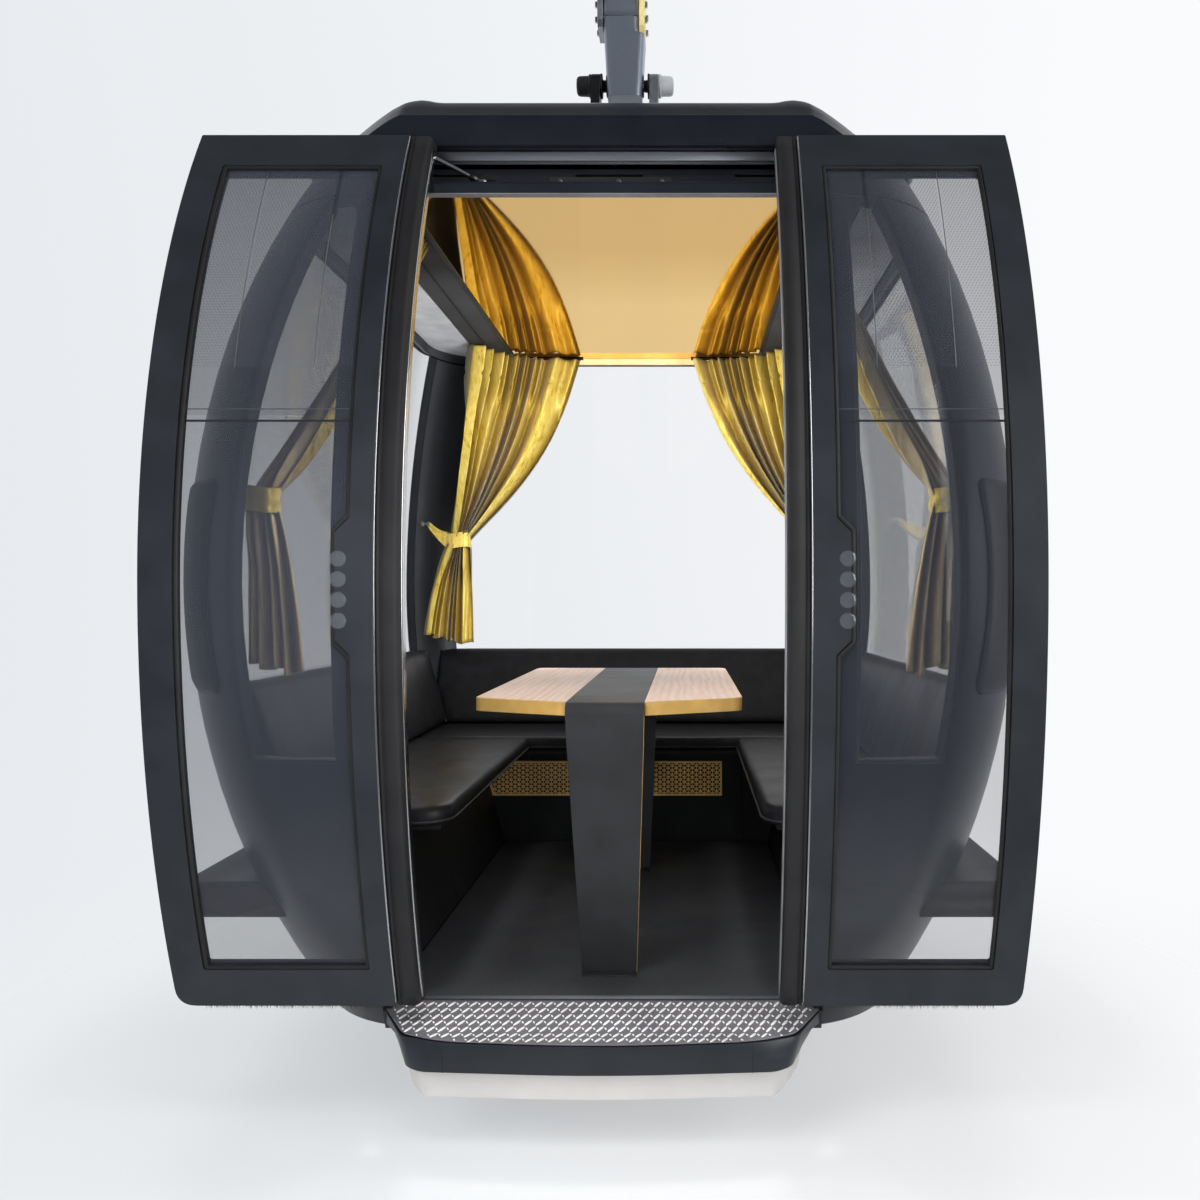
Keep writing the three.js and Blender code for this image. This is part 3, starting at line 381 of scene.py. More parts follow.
soft_lamp("front left panel", (-3.2, -4.6, 3.6), (3.2, 2.4), 150)
soft_lamp("front right panel", (3.9, -3.2, 2.2), (1.8, 3.4), 105, mirrored=True)
soft_lamp("overhead panel", (0, 0.4, 5.6), (5, 4), 150)
soft_lamp("rear panel", (0, 4.6, 2.2), (4.5, 3), 210)
soft_lamp("low front fill", (0.1, -4.4, 0.5), (2.4, 1.4), 42, at(0, 0, 0.4))
for word, side in SIDES:
    soft_lamp(f"front {word} curtain lamp", (side * 0.42, -0.72, 1.72), (0.25, 0.25), 13,
        at(side * 0.84, -0.86, 1.3))
    soft_lamp(f"rear {word} curtain lamp", (side * 0.12, -0.1, 1.55), (0.5, 0.3), 11.05,
        at(side * 0.72, 0.86, 1.6))
    soft_lamp(f"{word} tail lamp", (side * 0.34, 0.3, 1.0), (0.2, 0.3), 2.6, at(side * 0.78, 0.92, 1.0))
soft_lamp("step lamp", (-0.2, -1.9, 1.2), (1.0, 0.4), 9, at(0, -1.08, 0))

# %% [markdown]
# ## Finishes
# Each finish is a small network of nodes round one Principled shader. Values that are the same all over, such
# as sheen or coat, are typed into the shader. What varies from place to place, such as the faint waviness of
# sprayed paint or the grain of leather, comes from noise read in the object's own coordinates, in metres, so
# the grain keeps its real size on a large panel and on a small cap.

# %% One finish
class Finish(Nodes):
    """A material with its Principled shader, noise and bump."""

    def __init__(self, name, **values):
        self.material = bpy.data.materials.new(name)
        self.material.use_nodes = True
        super().__init__(self.material.node_tree)
        self.shader = self.tree.nodes["Principled BSDF"]
        for socket, value in values.items():
            value = (*value, 1) if isinstance(value, tuple) else value
            self.shader.inputs[socket.replace("_", " ")].default_value = value
        self.place = self.node("ShaderNodeTexCoord").outputs["Object"]

    def link(self, source, socket):
        self.tree.links.new(source, self.shader.inputs[socket])

    def stretched(self, scale):
        return self.node("ShaderNodeMapping", {"Vector": self.place}, Scale=scale).outputs[0]

    def noise(self, scale, detail=4, roughness=0.55, place=None):
        return self.node("ShaderNodeTexNoise", {"Vector": place or self.place}, Scale=scale, Detail=detail,
            Roughness=roughness).outputs["Fac"]

    def bump(self, height, strength, distance, under=None):
        links = {"Height": height} if under is None else {"Height": height, "Normal": under}
        self.relief = self.node("ShaderNodeBump", links, Strength=strength, Distance=distance).outputs[0]
        self.link(self.relief, "Normal")

    def rough(self, source, start, low, end, high):
        self.link(self.ramp(source, (start, low), (end, high)), "Roughness")

    def shade(self, source, *stops):
        self.link(self.ramp(source, *stops), "Base Color")


def times(colour, factor):
    return tuple(min(1, c * factor) for c in colour)


print("finish helper ready")

# %% [markdown]
# The body, the roof and the leaves are sprayed a deep blue-black in satin. Sprayed paint is never quite flat:
# it has a fine orange peel and holds a little dust, so its roughness wanders by a few hundredths.

# %% Paints and plastics
def satin(name, colour, roughness, peel=0.05, coat=0.0, metallic=0.0, grain=900, mottle=0.15):
    paint = Finish(name, Base_Color=colour, Metallic=metallic, Coat_Weight=coat, Coat_Roughness=0.12)
    paint.rough(paint.noise(3, 5), 0.3, roughness - 0.04, 0.7, roughness + 0.05)
    paint.shade(paint.noise(9, 3), (0.35, times(colour, 1 - mottle)), (0.65, times(colour, 1 + mottle)))
    paint.bump(paint.noise(grain, 2), peel, 0.0004)
    return paint.material


BODY_PAINT = satin("blue-black body paint", (0.011, 0.0135, 0.018), 0.4, 0.03, coat=0.1)
LEAF_PAINT = satin("blue-black leaf frame paint", (0.0165, 0.0195, 0.0245), 0.42, 0.05)
ROOF_GLOSS = satin("roof moulding gloss", (0.0085, 0.0105, 0.015), 0.3, 0.03, coat=0.25)
BLACK_PLASTIC = satin("grained black moulding", (0.012, 0.0125, 0.0135), 0.55, 0.35, grain=1400)
BLACK_PLATE = satin("powder-coated plate", (0.024, 0.025, 0.0275), 0.5, 0.2, grain=2200)
RUBBER = satin("black rubber", (0.013, 0.013, 0.014), 0.62, 0.12, grain=700)
LINER = satin("ceiling liner felt", (0.035, 0.035, 0.037), 0.92, 0.8, grain=1600)
# Pale grey outboard strip of the ceiling: its pale colour is painted light, for the brightness by the end windows.
PAINTED_LIGHT_LINER = satin("pale end liner", (0.42, 0.43, 0.45), 0.5, 0.2, grain=1600)
YELLOW = satin("pale yellow paint", (0.82, 0.68, 0.3), 0.45, 0.06)
# A pale copy of the pin cap's plastic: a painted highlight for the lit right side.
PAINTED_LIT_CAP = satin("pale plastic cap", (0.45, 0.47, 0.49), 0.4)
TYRE = satin("polyurethane tyre", (0.05, 0.045, 0.04), 0.5, 0.15, grain=500)
BRUSH = satin("nylon brush", (0.02, 0.02, 0.021), 0.6, 0.2, grain=1500)
GREY_BAND = satin("grey header band", (0.017, 0.0185, 0.0225), 0.4, 0.06)
HEAD_STRIP = satin("pale gold strip", (0.9, 0.62, 0.3), 0.4, 0.04)
HEADER_EDGE = satin("header edge", (0.16, 0.165, 0.18), 0.45, 0.06)
VENT_EDGE = satin("vent edge", (0.1, 0.105, 0.115), 0.4, 0.04)
print("paints made")

# %% [markdown]
# Bare metals differ mostly in how their surface was last touched. Brushed sheet has long fine scratches in one
# direction, hot-dip galvanising leaves crystal spangles, a casting keeps the skin of its sand mould, and a
# polished rod has next to nothing.

# %% Metals
def brushed(name, colour, roughness, along=(1, 1, 60), strength=0.1, metallic=1.0):
    metal = Finish(name, Base_Color=colour, Metallic=metallic)
    lines = metal.noise(18, 6, 0.7, metal.stretched(along))
    metal.rough(lines, 0.25, roughness - 0.08, 0.75, roughness + 0.12)
    metal.shade(lines, (0.2, times(colour, 0.82)), (0.8, times(colour, 1.1)))
    metal.bump(lines, strength, 0.0005)
    return metal.material


def galvanised(name, colour, roughness=0.42):
    zinc = Finish(name, Base_Color=colour, Metallic=0.85)
    crystal = zinc.node("ShaderNodeTexVoronoi", {"Vector": zinc.place}, Scale=70).outputs["Color"]
    level = zinc.node("ShaderNodeRGBToBW", {"Color": crystal}).outputs[0]
    zinc.shade(level, (0.1, times(colour, 0.78)), (0.9, colour))
    zinc.rough(level, 0.1, roughness - 0.06, 0.9, roughness + 0.1)
    zinc.bump(zinc.noise(120), 0.12, 0.0006)
    return zinc.material


def cast_metal(name, colour, roughness):
    metal = Finish(name, Base_Color=colour, Metallic=0.75)
    metal.rough(metal.noise(26, 6, 0.65), 0.3, roughness - 0.05, 0.7, roughness + 0.1)
    metal.shade(metal.noise(7), (0.3, times(colour, 0.8)), (0.7, colour))
    metal.bump(metal.noise(240, 5), 0.35, 0.0009)
    return metal.material


STEEL = brushed("brushed steel", (0.5, 0.51, 0.53), 0.32)
RAIL_METAL = brushed("drawn aluminium", (0.22, 0.235, 0.265), 0.42, (1, 60, 60), 0.05, 0.4)
TUBE_ZINC = brushed("brushed zinc tube", (0.33, 0.37, 0.44), 0.34, (90, 90, 1.5), 0.5, 0.75)
DARK_STEEL = brushed("blackened steel", (0.12, 0.125, 0.13), 0.42, (30, 30, 30))
BRIGHT = brushed("polished trim", (0.75, 0.76, 0.78), 0.18, (1, 1, 40), 0.03)
ZINC = galvanised("galvanised steel", (0.47, 0.5, 0.54))
CAST = cast_metal("cast steel", (0.3, 0.31, 0.33), 0.5)
JAW_METAL = cast_metal("machined jaw", (0.42, 0.42, 0.43), 0.34)
BRASS = satin("brass edge band", (0.78, 0.48, 0.14), 0.36, 0.03, metallic=0.45)
GOLD_SHEET = satin("perforated gold sheet", (0.95, 0.6, 0.2), 0.42, metallic=0.15)
TREAD = satin("tread plate aluminium", (0.17, 0.165, 0.18), 0.5, 0.1, metallic=0.3, grain=500)
# Near-white bars: partly the polish of wear, partly a painted highlight.
WORN_BAR_PAINTED_HIGHLIGHT = satin("worn tread bars", (0.93, 0.92, 0.95), 0.34, metallic=0.25)
PALE_SHEET = satin("pale skirt sheet", (0.54, 0.528, 0.512), 0.5, 0.08, grain=500, mottle=0.025)
print("metals made")

# %% [markdown]
# Leather and satin are what the cabin is known for. Leather is a dielectric with pores at about a millimetre and
# slow creases over a hand's width; satin is a weave whose threads all float one way, so its highlight is a
# streak across the pleats, over a sheen that lifts the far side of each fold.

# %% Leather, cloth and wood
def leather(name, colour):
    hide = Finish(name, Base_Color=colour, Specular_IOR_Level=0.3)
    pores = hide.node("ShaderNodeTexVoronoi", {"Vector": hide.place}, Scale=420).outputs["Distance"]
    creases = hide.noise(26, 7, 0.62)
    hide.bump(creases, 0.32, 0.0016)
    hide.bump(pores, 0.22, 0.0005, hide.relief)
    hide.rough(hide.noise(5, 5), 0.3, 0.34, 0.7, 0.48)
    hide.shade(creases, (0.35, times(colour, 0.8)), (0.7, times(colour, 1.3)))
    return hide.material


def satin_cloth(name, deep, light, roughness, sheen, metallic=0.0):
    """Cloth whose weave is read upwards, with the sheen of its threads and painted shade darkening its folds."""
    cloth = Finish(name, Base_Color=light, Sheen_Weight=sheen, Sheen_Roughness=0.35, Metallic=metallic,
        Specular_IOR_Level=0.6)
    threads = cloth.noise(1500, 2, 0.6, cloth.stretched((1, 1, 0.25)))
    slub = cloth.noise(60, 4, 0.6, cloth.stretched((1, 1, 0.12)))
    colour = cloth.ramp(slub, (0.3, deep), (0.7, light))
    # Painted shade: ambient occlusion mixes the colour towards a dim brown deep in the folds.
    fold = cloth.node("ShaderNodeAmbientOcclusion", samples=6, Distance=0.045).outputs["AO"]
    painted_fold_shade = cloth.node("ShaderNodeMix", {"B": colour, "Factor": cloth.ramp(fold, (0.35, 0.12), (0.92, 1.0))},
        data_type="RGBA")
    painted_fold_shade.inputs["A"].default_value = (*(c * k for c, k in zip(deep, (0.4, 0.32, 0.2))), 1)
    cloth.link(painted_fold_shade.outputs["Result"], "Base Color")
    cloth.bump(threads, 0.12, 0.0004)
    cloth.rough(slub, 0.3, roughness - 0.05, 0.7, roughness + 0.08)
    return cloth.material


def oak(name, dark, light):
    """Straight-grained veneer: rings read along the grain, pores as short dark dashes."""
    wood = Finish(name, Roughness=0.42, Coat_Weight=0.15, Coat_Roughness=0.3)
    board = wood.stretched((1, 0.16, 1))
    drift = wood.noise(6, 5, 0.6, board)
    grain = wood.noise(90, 6, 0.7, wood.stretched((1, 0.035, 1)))
    rings = wood.node("ShaderNodeTexWave", {"Vector": board}, Scale=14, Distortion=5, Detail=3,
        Detail_Scale=1.2).outputs["Fac"]
    mixed = wood.math("MULTIPLY_ADD", rings, 0.3, wood.math("MULTIPLY", grain, 0.7))
    middle = tuple((a + b) / 2 for a, b in zip(dark, light))
    wood.shade(wood.math("MULTIPLY_ADD", drift, 0.35, mixed), (0.42, dark), (0.62, middle), (0.86, light))
    wood.bump(grain, 0.16, 0.0005)
    wood.rough(grain, 0.3, 0.5, 0.7, 0.36)
    return wood.material


LEATHER = leather("black leather", (0.008, 0.008, 0.009))
PIPING = leather("black piping", (0.02, 0.02, 0.021))
CURTAIN = satin_cloth("gold satin", (0.6, 0.415, 0.04), (0.92, 0.73, 0.2), 0.3, 0.3, 0.4)
# One lining cloth: beige on the front curtains; on the rear ones it is painted dark olive, as painted shade.
FRONT_LINING = satin_cloth("beige lining", (0.4, 0.3, 0.15), (0.62, 0.49, 0.27), 0.5, 0.2)
LINING_PAINTED_SHADE = satin_cloth("olive lining", (0.07, 0.062, 0.03), (0.11, 0.098, 0.05), 0.62, 0.2)
OAK = oak("taupe oak veneer", (0.41, 0.275, 0.205), (0.53, 0.365, 0.275))
print("leather, satin and oak made")

# %% [markdown]
# The floor is ribbed sheet with a fleck of grit. The ceiling's mirror is a gold panel that is a little uneven
# and a little brushed, which blurs the curtains in it the way a thin panel does. Its gold is painted lighter
# towards the rear, a painted reflection.

# %% Floor covering and ceiling mirror
sheet = Finish("ribbed dark flooring", Base_Color=(0.045, 0.046, 0.048), Roughness=0.75)
ribs = sheet.node("ShaderNodeTexWave", {"Vector": sheet.place}, Scale=55, bands_direction="Y").outputs["Fac"]
fleck = sheet.noise(700, 2)
sheet.shade(fleck, (0.4, (0.026, 0.027, 0.031)), (0.66, (0.078, 0.08, 0.086)))
sheet.bump(ribs, 0.25, 0.0008)
sheet.bump(fleck, 0.2, 0.0005, sheet.relief)
sheet.rough(sheet.noise(4), 0.3, 0.62, 0.7, 0.85)
FLOORING = sheet.material
mirror = Finish("gold mirror panel", Metallic=1.0, Specular_Tint=(0.95, 0.8, 0.55))
along = mirror.node("ShaderNodeSeparateXYZ", {0: mirror.place}).outputs["Y"]
# Painted reflection: the mirror's gold is lighter towards the rear of the cabin.
mirror.shade(mirror.math("ADD", along, 0.5), (0.0, (0.73, 0.5, 0.24)), (0.6, (0.93, 0.69, 0.37)))
mirror.rough(mirror.noise(2.5, 3), 0.3, 0.025, 0.7, 0.06)
mirror.bump(mirror.noise(1.6, 1), 0.04, 0.004)
GOLD_MIRROR = mirror.material
print("flooring and mirror made")

# %% [markdown]
# ## Body panels
# The body is a ring of moulded panels: two front corners with the jambs, one rear wall, two lower end panels,
# and glass all round between the pillars. Subdividing one box and pushing points about would blur the panel
# joints. A grid per panel is better: rows are heights, columns are places round the plan, and the window is a
# patch of the grid that is left out, so every edge lies exactly where two real panels meet.

# %% A panel from a grid of points
def surface(name, rows, skip=()):
    """A mesh of quads through rows of points; skip holds the (row, column) quads that are left out."""
    work = bmesh.new()
    grid = [[work.verts.new(p) for p in row] for row in rows]
    for r, (low, high) in enumerate(zip(grid, grid[1:])):
        for c in range(len(low) - 1):
            if (r, c) not in skip:
                work.faces.new((low[c], low[c + 1], high[c + 1], high[c]))
    bmesh.ops.delete(work, geom=[v for v in work.verts if not v.link_faces], context="VERTS")
    work.normal_update()
    if sum(f.normal.dot(f.calc_center_median() - MIDDLE) for f in work.faces) < 0:
        bmesh.ops.reverse_faces(work, faces=work.faces)
    return from_bmesh(name, work, outwards=False)


def stops(values, steps):
    """The values with evenly spaced ones between them, and the band that each interval belongs to."""
    filled, bands = [values[0]], []
    for band, count in enumerate(steps):
        filled += span(values[band], values[band + 1], count)[1:]
        bands += [band] * count
    return filled, bands


def panel(name, heights, height_steps, places, place_steps, rear, holes=(), inset=0.0):
    """A panel of the barrel. places are functions of the height that give a turn; holes are (band, band)."""
    levels, row_bands = stops(heights, height_steps)
    rows = []
    for level in levels:
        turns, column_bands = stops([place(level) for place in places], place_steps)
        rows.append([body_point(turn, level, inset, rear) for turn in turns])
    skip = {(r, c) for r, rb in enumerate(row_bands) for c, cb in enumerate(column_bands) if (rb, cb) in holes}
    return surface(name, rows, skip)


PILLAR = 0.185
DOORWAY_HALF, JAMB = 0.535, 0.055
FRONT_SILL, SILL, RIM, BOTTOM = 0.62, 0.74, 1.99, -0.06
PANEL_GAP = 0.004  # the dark joint between panels


def along_front(x, side=1):
    return lambda height: side * turn_at_x(x, height)


def pillar_inner(side=1):
    return lambda height: side * max(turn_at_x(end_x(height) - PILLAR, height),
        turn_at_x(DOORWAY_HALF + JAMB, height) + 0.03)


def pillar_outer(side=1):
    return lambda height: side * turn_at_y(face_y(height) - PILLAR, height)


def corner_end(side=1):
    return lambda height: side * (2 - PANEL_GAP / CORNER)


for word, side in SIDES:
    corner = panel(f"front_{word}_body_corner", [BOTTOM, FRONT_SILL, SILL, RIM - 0.002], [8, 2, 14],
        [along_front(DOORWAY_HALF, side), along_front(DOORWAY_HALF + JAMB, side), pillar_inner(side),
        pillar_outer(side), corner_end(side)], [2, 4, 8, 3], False, {(1, 1), (2, 1), (2, 3)})
    finish(soften(thicken(corner, WALL), 0.004), BODY_PAINT, "body_paint", f"front_{word}_corner")

rear = panel("rear_body_wall", [BOTTOM, SILL, RIM - 0.002], [9, 14], [corner_end(-1), pillar_outer(-1),
    pillar_inner(-1), pillar_inner(), pillar_outer(), corner_end()], [3, 8, 16, 8, 3], True,
    {(1, 0), (1, 2), (1, 4)})
finish(soften(thicken(rear, WALL), 0.004), BODY_PAINT, "body_paint", "rear_wall")
print("body corners and rear wall")

# %% [markdown]
# The two ends are flatter than the corners, so they run straight in plan between the corner radii. Below the
# glass each end is one pressed panel; its raised field stiffens it, and it is what a maker would emboss.

# %% End panels and all the glass of the body
def end_point(y, height, inset, side):
    """A point of the end at a distance y from the middle, round the corners where it reaches them."""
    return at(side * inside_wall_x(height, y, inset), y, height)


def end_surface(name, side, low, high, edge, inset, rows, columns, field=0.0):
    """A grid over an end; the edge is measured in from the faces, and a raised field may stand in its middle."""
    grid = []
    for height in span(low, high, rows):
        half = face_y(height) - edge
        line = []
        for y in span(-half, half, columns):
            near = min((half - abs(y)) / 0.09, (height - low) / 0.16, (high - height) / 0.12) - 0.6
            rise = field * max(0, min(1, near) ** 2 * (3 - 2 * min(1, max(0, near))))
            line.append(end_point(y, height, inset - rise, side))
        grid.append(line)
    return surface(name, grid)


def glazed(glass, roughness=0.03, ior=1.45):
    """A Fresnel mirror over a see-through grey, which lets the lamps through unbent and undimmed.

    A ray runs straight through, so the far face is read like the near one and never mirrors it all.
    """
    mirror = glass.node("ShaderNodeBsdfGlossy", Color=(1, 1, 1, 1), Roughness=roughness).outputs[0]
    inside = glass.node("ShaderNodeNewGeometry").outputs["Backfacing"]
    turned_back = glass.math("POWER", ior, glass.math("MULTIPLY_ADD", inside, -2.0, 1.0))
    edge = glass.node("ShaderNodeFresnel", {"IOR": turned_back}).outputs[0]
    both = glass.node("ShaderNodeMixShader", {0: edge, 1: glass.shader.outputs[0], 2: mirror}).outputs[0]
    lamps = glass.node("ShaderNodeLightPath").outputs["Is Shadow Ray"]
    clear = glass.node("ShaderNodeBsdfTransparent", Color=(0.85, 0.86, 0.88, 1)).outputs[0]
    whole = glass.node("ShaderNodeMixShader", {0: lamps, 1: both, 2: clear}).outputs[0]
    glass.end(whole, "Material Output", "Surface")
    return glass.material


def tinted(name, tint, alpha, ior=1.45):
    glass = Finish(name, Base_Color=tint, Alpha=alpha, IOR=1.5)
    glass.rough(glass.noise(5), 0.35, 0.03, 0.75, 0.06)
    return glazed(glass, ior=ior)


def pane(piece, nodes, material):
    finish(soften(thicken(piece, GLASS), 0.0015), material, "glass", nodes)


GLASS_INSET, GLASS = 0.012, 0.006
BODY_GLASS = tinted("body glass", (0.05, 0.055, 0.065), 0.07, 1.35)
CLEAR_GLASS = tinted("rear window glass", (0.2, 0.21, 0.22), 0.02, 1.2)
for word, side in SIDES:
    lower = end_surface(f"{word}_end_lower_panel", side, BOTTOM, SILL - PANEL_GAP, CORNER + PANEL_GAP, 0, 24,
        48, 0.008)
    finish(soften(thicken(lower, WALL - 0.006), 0.004), BODY_PAINT, "body_paint", f"{word}_end_panel")
    pane(end_surface(f"{word}_end_glass", side, SILL, RIM - 0.001, PILLAR + 0.001, GLASS_INSET, 14, 30),
        f"{word}_window", BODY_GLASS)
    pane(panel(f"front_{word}_fixed_glass", [FRONT_SILL + 0.001, RIM - 0.001], [14],
        [along_front(DOORWAY_HALF + JAMB + 0.001, side), pillar_inner(side)], [6], False, inset=GLASS_INSET),
        f"front_{word}_window", BODY_GLASS)
pane(panel("rear_glass", [SILL + 0.001, RIM - 0.001], [14], [pillar_inner(-1), pillar_inner()], [24], True,
    inset=GLASS_INSET), "rear_window", CLEAR_GLASS)
print("glass all round")

# %% [markdown]
# A bonded pane sits in a rubber bead that takes up the gap to the moulding. A bead is a thin closed line swept
# with a small round section, which is exactly what a Blender curve with a bevel is.

# %% Beads round the glass
def line_piece(name, points, radius, closed=False, resolution=3):
    """A round bead or rod along a line of points, as a mesh."""
    curve = bpy.data.curves.new(name, "CURVE")
    curve.dimensions, curve.bevel_depth, curve.bevel_resolution = "3D", radius, resolution
    curve.use_fill_caps = not closed
    spline = curve.splines.new("POLY")
    spline.points.add(len(points) - 1)
    for target, p in zip(spline.points, points):
        target.co = (*p, 1)
    spline.use_cyclic_u = closed
    holder = bpy.data.objects.new(name, curve)
    scene.collection.objects.link(holder)
    mesh = bpy.data.meshes.new_from_object(evaluated(holder))
    bpy.data.objects.remove(holder)
    mesh.name = name
    mesh.polygons.foreach_set("use_smooth", [True] * len(mesh.polygons))
    piece = bpy.data.objects.new(name, mesh)
    scene.collection.objects.link(piece)
    return piece


def bead(name, points, radius=0.0075):
    finish(line_piece(name, points, radius, True), RUBBER, "rubber")


def edge_loop(low_place, high_place, low, rear, inset, steps=14):
    """The closed line round a pane between two places, from a height up to the rim."""
    high = RIM - 0.004
    rise = [body_point(high_place(z), z, inset, rear) for z in span(low, high, steps)]
    fall = [body_point(low_place(z), z, inset, rear) for z in reversed(span(low, high, steps))]
    over = [body_point(t, high, inset, rear) for t in span(high_place(high), low_place(high), steps)[1:-1]]
    under = [body_point(t, low, inset, rear) for t in span(low_place(low), high_place(low), steps)[1:-1]]
    return rise + over + fall + under


BEAD_INSET = GLASS_INSET - 0.002
for word, side in SIDES:
    bead(f"front_{word}_glass_bead", edge_loop(along_front(DOORWAY_HALF + JAMB, side), pillar_inner(side),
        FRONT_SILL, False, BEAD_INSET))
    low, high = SILL, RIM - 0.004
    fall, rise = [[end_point(sign * (face_y(z) - PILLAR), z, BEAD_INSET, side) for z in span(low, high, 16)]
        for sign in (-1, 1)]
    under, over = [[end_point(y, z, BEAD_INSET, side) for y in span(PILLAR - face_y(z), face_y(z) - PILLAR,
        30)[1:-1]] for z in (low, high)]
    bead(f"{word}_end_glass_bead", rise + over[::-1] + fall[::-1] + under)
bead("rear_glass_bead", edge_loop(pillar_inner(-1), pillar_inner(), SILL, True, BEAD_INSET, 24))
print("glass beads made")

# %% [markdown]
# ## Door leaves
# Each leaf is a bent frame of pressed section with a bonded pane, and it follows the barrel a hand's width
# outside it. A frame could be boxes joined at the corners, but the real one is one pressing with rounded
# corners. So its outline is drawn flat, with the window cut out, filled with triangles, sliced level by level,
# and bent onto the barrel before it gets its thickness.

# %% Plates bent onto the barrel
def rounded(corners, radius, steps=5):
    """A closed outline whose corners are rounded; a corner may carry its own radius as a third number."""
    outline = []
    count = len(corners)
    for i in range(count):
        here = Vector(corners[i][:2])
        r = corners[i][2] if len(corners[i]) > 2 else radius
        a, b = Vector(corners[i - 1][:2]) - here, Vector(corners[(i + 1) % count][:2]) - here
        half = a.angle(b) / 2
        if r <= 0 or abs(half - pi / 2) < 1e-3:
            outline.append(here)
            continue
        reach = min(r / tan(half), a.length * 0.49, b.length * 0.49)
        start, end = here + a.normalized() * reach, here + b.normalized() * reach
        outline += [start * (1 - t) ** 2 + here * 2 * t * (1 - t) + end * t ** 2 for t in span(0, 1, steps)]
    return outline


def flat_plate(outlines):
    """A bmesh of triangles in the XY plane between an outer outline and the holes after it."""
    work = bmesh.new()
    for outline in outlines:
        for edge in loop_pairs([work.verts.new((p[0], p[1], 0)) for p in outline]):
            work.edges.new(edge)
    bmesh.ops.triangle_fill(work, use_beauty=True, use_dissolve=False, edges=work.edges[:])
    return work


def cut(work, place, normal, **options):
    bmesh.ops.bisect_plane(work, geom=work.verts[:] + work.edges[:] + work.faces[:], plane_co=place,
        plane_no=normal, **options)


def bent_plate(name, outlines, side, out, thickness, step=0.05):
    """A plate on the door side of the barrel: out is its outer face's distance outside the body."""
    heights = [p[1] for p in outlines[0]]
    work = flat_plate(outlines)
    for i in range(1, int((max(heights) - min(heights)) / step)):
        cut(work, Vector((0, min(heights) + step * i, 0)), Vector((0, 1, 0)), dist=1e-5)
    for v in work.verts:
        v.co = on_leaf(side * v.co.x, v.co.y, out)
    piece = from_bmesh(name, work)
    if sum(f.normal.y * f.area for f in piece.data.polygons) > 0:
        piece.data.flip_normals()
    return thicken(piece, thickness)


def on_leaf(x, height, out):
    """A point of the door side at a distance outside the body."""
    return at(x, -(face_y(height) + out), height)


def upright(name, section, low, high, side, step=0.06):
    """A profile that runs up the door side; section holds (x, distance outside the body) points."""
    return lofted(name, [[on_leaf(side * x, z, out) for x, out in section]
        for z in span(low, high, max(2, int((high - low) / step)))])


def dense(outline, step=0.05):
    """The outline with more points on its long straights, so that it can bend."""
    return [a.lerp(b, t) for a, b in loop_pairs(outline) for t in span(0, 1,
        max(1, round((b - a).length / step)))[:-1]]


print("plates ready")

# %% [markdown]
# The frame's inner edge steps aside half way up for the panel that carries the emergency handle. A rubber bead
# lines the window, and a bright seam marks where the closing edge is pushed on.

# %% Leaf frames, beads and edge trims
LEAF_GAP, LEAF_THICK = 0.03, 0.042
LEAF_FACE = LEAF_GAP + LEAF_THICK  # distance of the leaf's outer face from the body
LEAF_IN, LEAF_OUT, LEAF_LOW, LEAF_HIGH = 0.475, 0.99, 0.037, 2.137
WINDOW_IN, WINDOW_OUT, WINDOW_LOW, WINDOW_HIGH = 0.53, 0.915, 0.133, 2.04
GRIP_LOW, GRIP_HIGH, GRIP_WIDTH = 0.87, 1.17, 0.032


def window_outline(shrink=0.0):
    """The leaf's window with the handle panel's step; shrink moves it inwards."""
    near, far, low, high = WINDOW_IN + shrink, WINDOW_OUT - shrink, WINDOW_LOW + shrink, WINDOW_HIGH - shrink
    step = near + GRIP_WIDTH
    return rounded([(near, low), (far, low), (far, high), (near, high), (near, GRIP_HIGH + shrink),
        (step, GRIP_HIGH - GRIP_WIDTH + shrink), (step, GRIP_LOW + GRIP_WIDTH - shrink),
        (near, GRIP_LOW - shrink)], 0.006)


for word, side in SIDES:
    outer = rounded([(LEAF_IN, LEAF_LOW, 0.012), (LEAF_OUT, LEAF_LOW, 0.045), (LEAF_OUT, LEAF_HIGH, 0.004),
        (LEAF_IN, LEAF_HIGH, 0.004)], 0.01, 7)
    leaf = bent_plate(f"{word}_leaf_frame", [dense(outer), dense(window_outline())], side, LEAF_FACE,
        LEAF_THICK - 0.002)
    finish(soften(leaf, 0.0035, 3), LEAF_PAINT, "body_paint", f"{word}_door_frame")
    bead(f"{word}_leaf_glass_bead", [on_leaf(side * p.x, p.y, LEAF_FACE - 0.0085)
        for p in dense(window_outline(0.0045), 0.03)], 0.006)
    trim = rectangle(LEAF_IN + 0.0005, LEAF_IN + 0.0035, LEAF_FACE - 0.001, LEAF_FACE + 0.0006)
    finish(upright(f"{word}_leaf_edge_trim", trim, LEAF_LOW + 0.01, LEAF_HIGH - 0.004, side), BRIGHT,
        "pale_metal")
print("leaf frames", round(LEAF_OUT - LEAF_IN, 3), "m wide")

# %% [markdown]
# The closing edge of each leaf is a hollow rubber profile with a rounded nose, pushed onto a bright metal
# carrier that shows as a thin line at the opening. A strip of nylon brush sweeps the sill under the leaf. It is
# drawn as hairs, because its lower edge is what gives a brush away.

